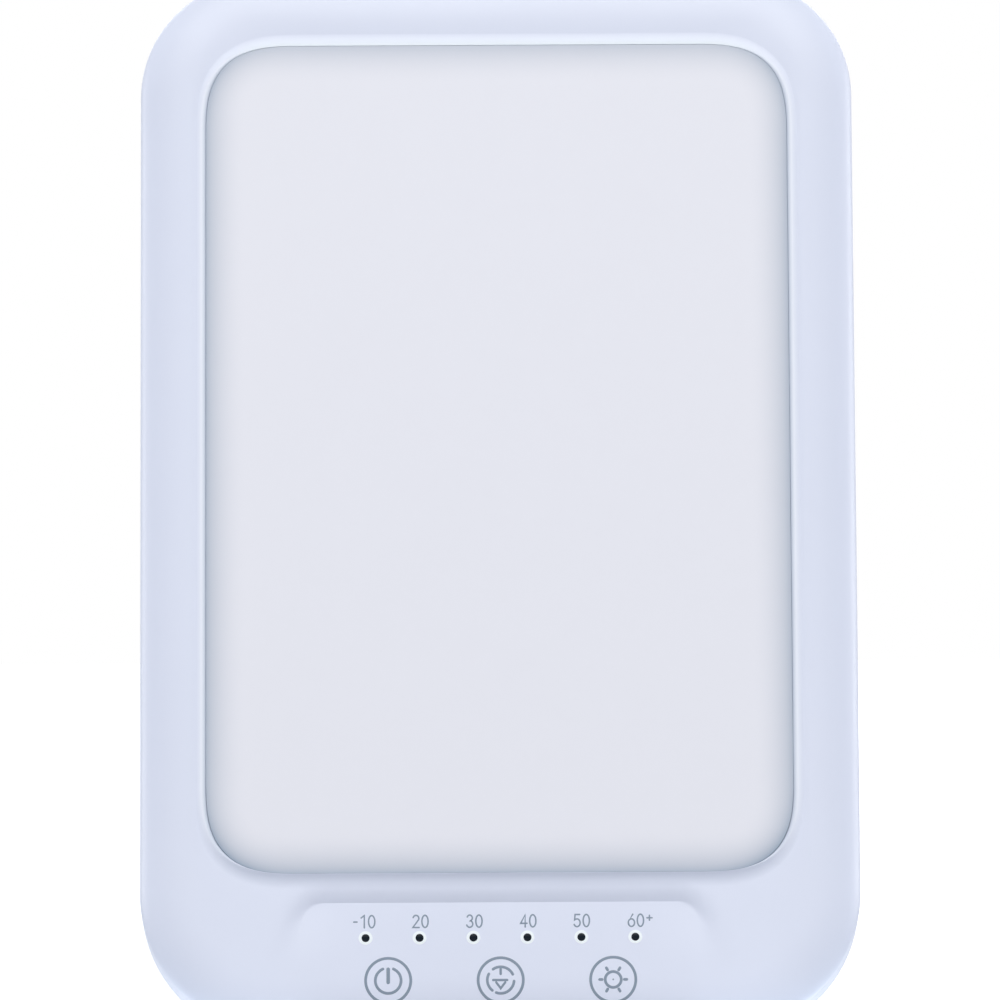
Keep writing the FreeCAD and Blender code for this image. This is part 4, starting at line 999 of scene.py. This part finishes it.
# %% Room
ROOM_FILL = (0.14, 0.165, 0.215, 1.0)
room = bpy.data.worlds.new("white_room")
room.use_nodes = True
room_nodes, room_links = room.node_tree.nodes, room.node_tree.links
background = room_nodes["Background"]
room_tint = room_nodes.new("ShaderNodeMix")
room_tint.data_type = "RGBA"
room_tint.inputs["A"].default_value = ROOM_FILL
room_tint.inputs["B"].default_value = (1.0, 1.0, 1.0, 1.0)
room_links.new(seen_by_camera(room_nodes, room_links), room_tint.inputs["Factor"])
room_links.new(room_tint.outputs["Result"], background.inputs["Color"])
bpy.context.scene.world = room
print("room fill:", ROOM_FILL[:3])

# %% Lamps
KEY_TINT = (1.0, 0.975, 0.925)
WHITE = (1.0, 1.0, 1.0)
AIM_HEIGHT = 0.12


def area_light(name, width, height, watts, tint):
    """A rectangular lamp, in metres, still without a place."""
    data = bpy.data.lights.new(name, "AREA")
    data.shape = "RECTANGLE"
    data.size, data.size_y = width, height
    data.energy = watts
    data.color = tint
    lamp = bpy.data.objects.new(name, data)
    bpy.context.scene.collection.objects.link(lamp)
    return lamp


def soft_lamp(name, azimuth, elevation, distance, width, height, watts, tint=WHITE):
    """A soft lamp that looks at the middle of the panel; azimuth 0 is straight in front."""
    a, e = math.radians(azimuth), math.radians(elevation)
    away = np.array([math.sin(a) * math.cos(e), -math.cos(a) * math.cos(e), math.sin(e)])
    right = np.array([math.cos(a), math.sin(a), 0.0])
    turn = Matrix(np.stack([right, np.cross(away, right), away], axis=1).tolist())
    spot = away * distance + (0, 0, AIM_HEIGHT)
    lamp = area_light(name, width, height, watts, tint)
    lamp.matrix_world = Matrix.Translation(spot.tolist()) @ turn.to_4x4()
    print(f"{name}: {watts} W from {distance} m")


soft_lamp("key_lamp", azimuth=0.0, elevation=52.0, distance=5.0, width=4.3, height=3.7,
          watts=223.0, tint=KEY_TINT)
soft_lamp("low_lamp", azimuth=0.0, elevation=4.0, distance=3.0, width=3.0, height=0.5, watts=10.0)
soft_lamp("back_lamp", azimuth=180.0, elevation=28.0, distance=4.0, width=3.6, height=2.4,
          watts=66.0)
soft_lamp("left_lamp", azimuth=-107.0, elevation=2.0, distance=1.8, width=0.8, height=1.0,
          watts=14.0)
soft_lamp("right_lamp", azimuth=107.0, elevation=2.0, distance=1.8, width=0.8, height=1.0,
          watts=17.0)

# %% Light from the table
TABLE_WIDTH, TABLE_DEPTH = 0.065, 0.038
TABLE_ACROSS, TABLE_FORWARD, TABLE_UP = 0.0725, -0.031, 0.0006
TABLE_TINT = (0.86, 0.95, 1.0)


def table_light(name, across, watts):
    """A card that lies under a lower corner, looks up and is hidden from the camera."""
    lamp = area_light(name, TABLE_WIDTH, TABLE_DEPTH, watts, TABLE_TINT)
    lamp.visible_camera = False
    place = Matrix.Translation((across, TABLE_FORWARD, TABLE_UP))
    lamp.matrix_world = place @ Matrix.Rotation(math.pi, 4, "X")
    print(f"{name}: {watts} W, {across * 1000:.1f} mm across")


table_light("left_table_light", -TABLE_ACROSS, 0.0053)
table_light("right_table_light", TABLE_ACROSS, 0.0060)

# %% [markdown]
# ## Camera
#
# A long lens, level and square on, keeps the panel's edges nearly parallel. The lean alone makes
# the top a touch narrower than the bottom. The camera is turned by three tenths of a degree about
# its own line of sight.

# %% Camera
CAMERA_PLACE = (0.40 * MM, -2594.6 * MM, 120.7 * MM)
CAMERA_LENS, SENSOR_WIDTH = 416.2, 36.0
CAMERA_ROLL = -0.3
camera_data = bpy.data.cameras.new("camera")
camera_data.sensor_width = SENSOR_WIDTH
camera_data.lens = CAMERA_LENS
camera = bpy.data.objects.new("camera", camera_data)
bpy.context.scene.collection.objects.link(camera)
camera.matrix_world = (Matrix.Translation(CAMERA_PLACE) @ Matrix.Rotation(math.pi / 2, 4, "X")
                       @ Matrix.Rotation(math.radians(CAMERA_ROLL), 4, "Z"))
bpy.context.scene.camera = camera
bpy.context.scene.view_settings.view_transform = "Standard"
print(f"camera {-CAMERA_PLACE[1]:.2f} m in front, lens {CAMERA_LENS:.0f} mm")
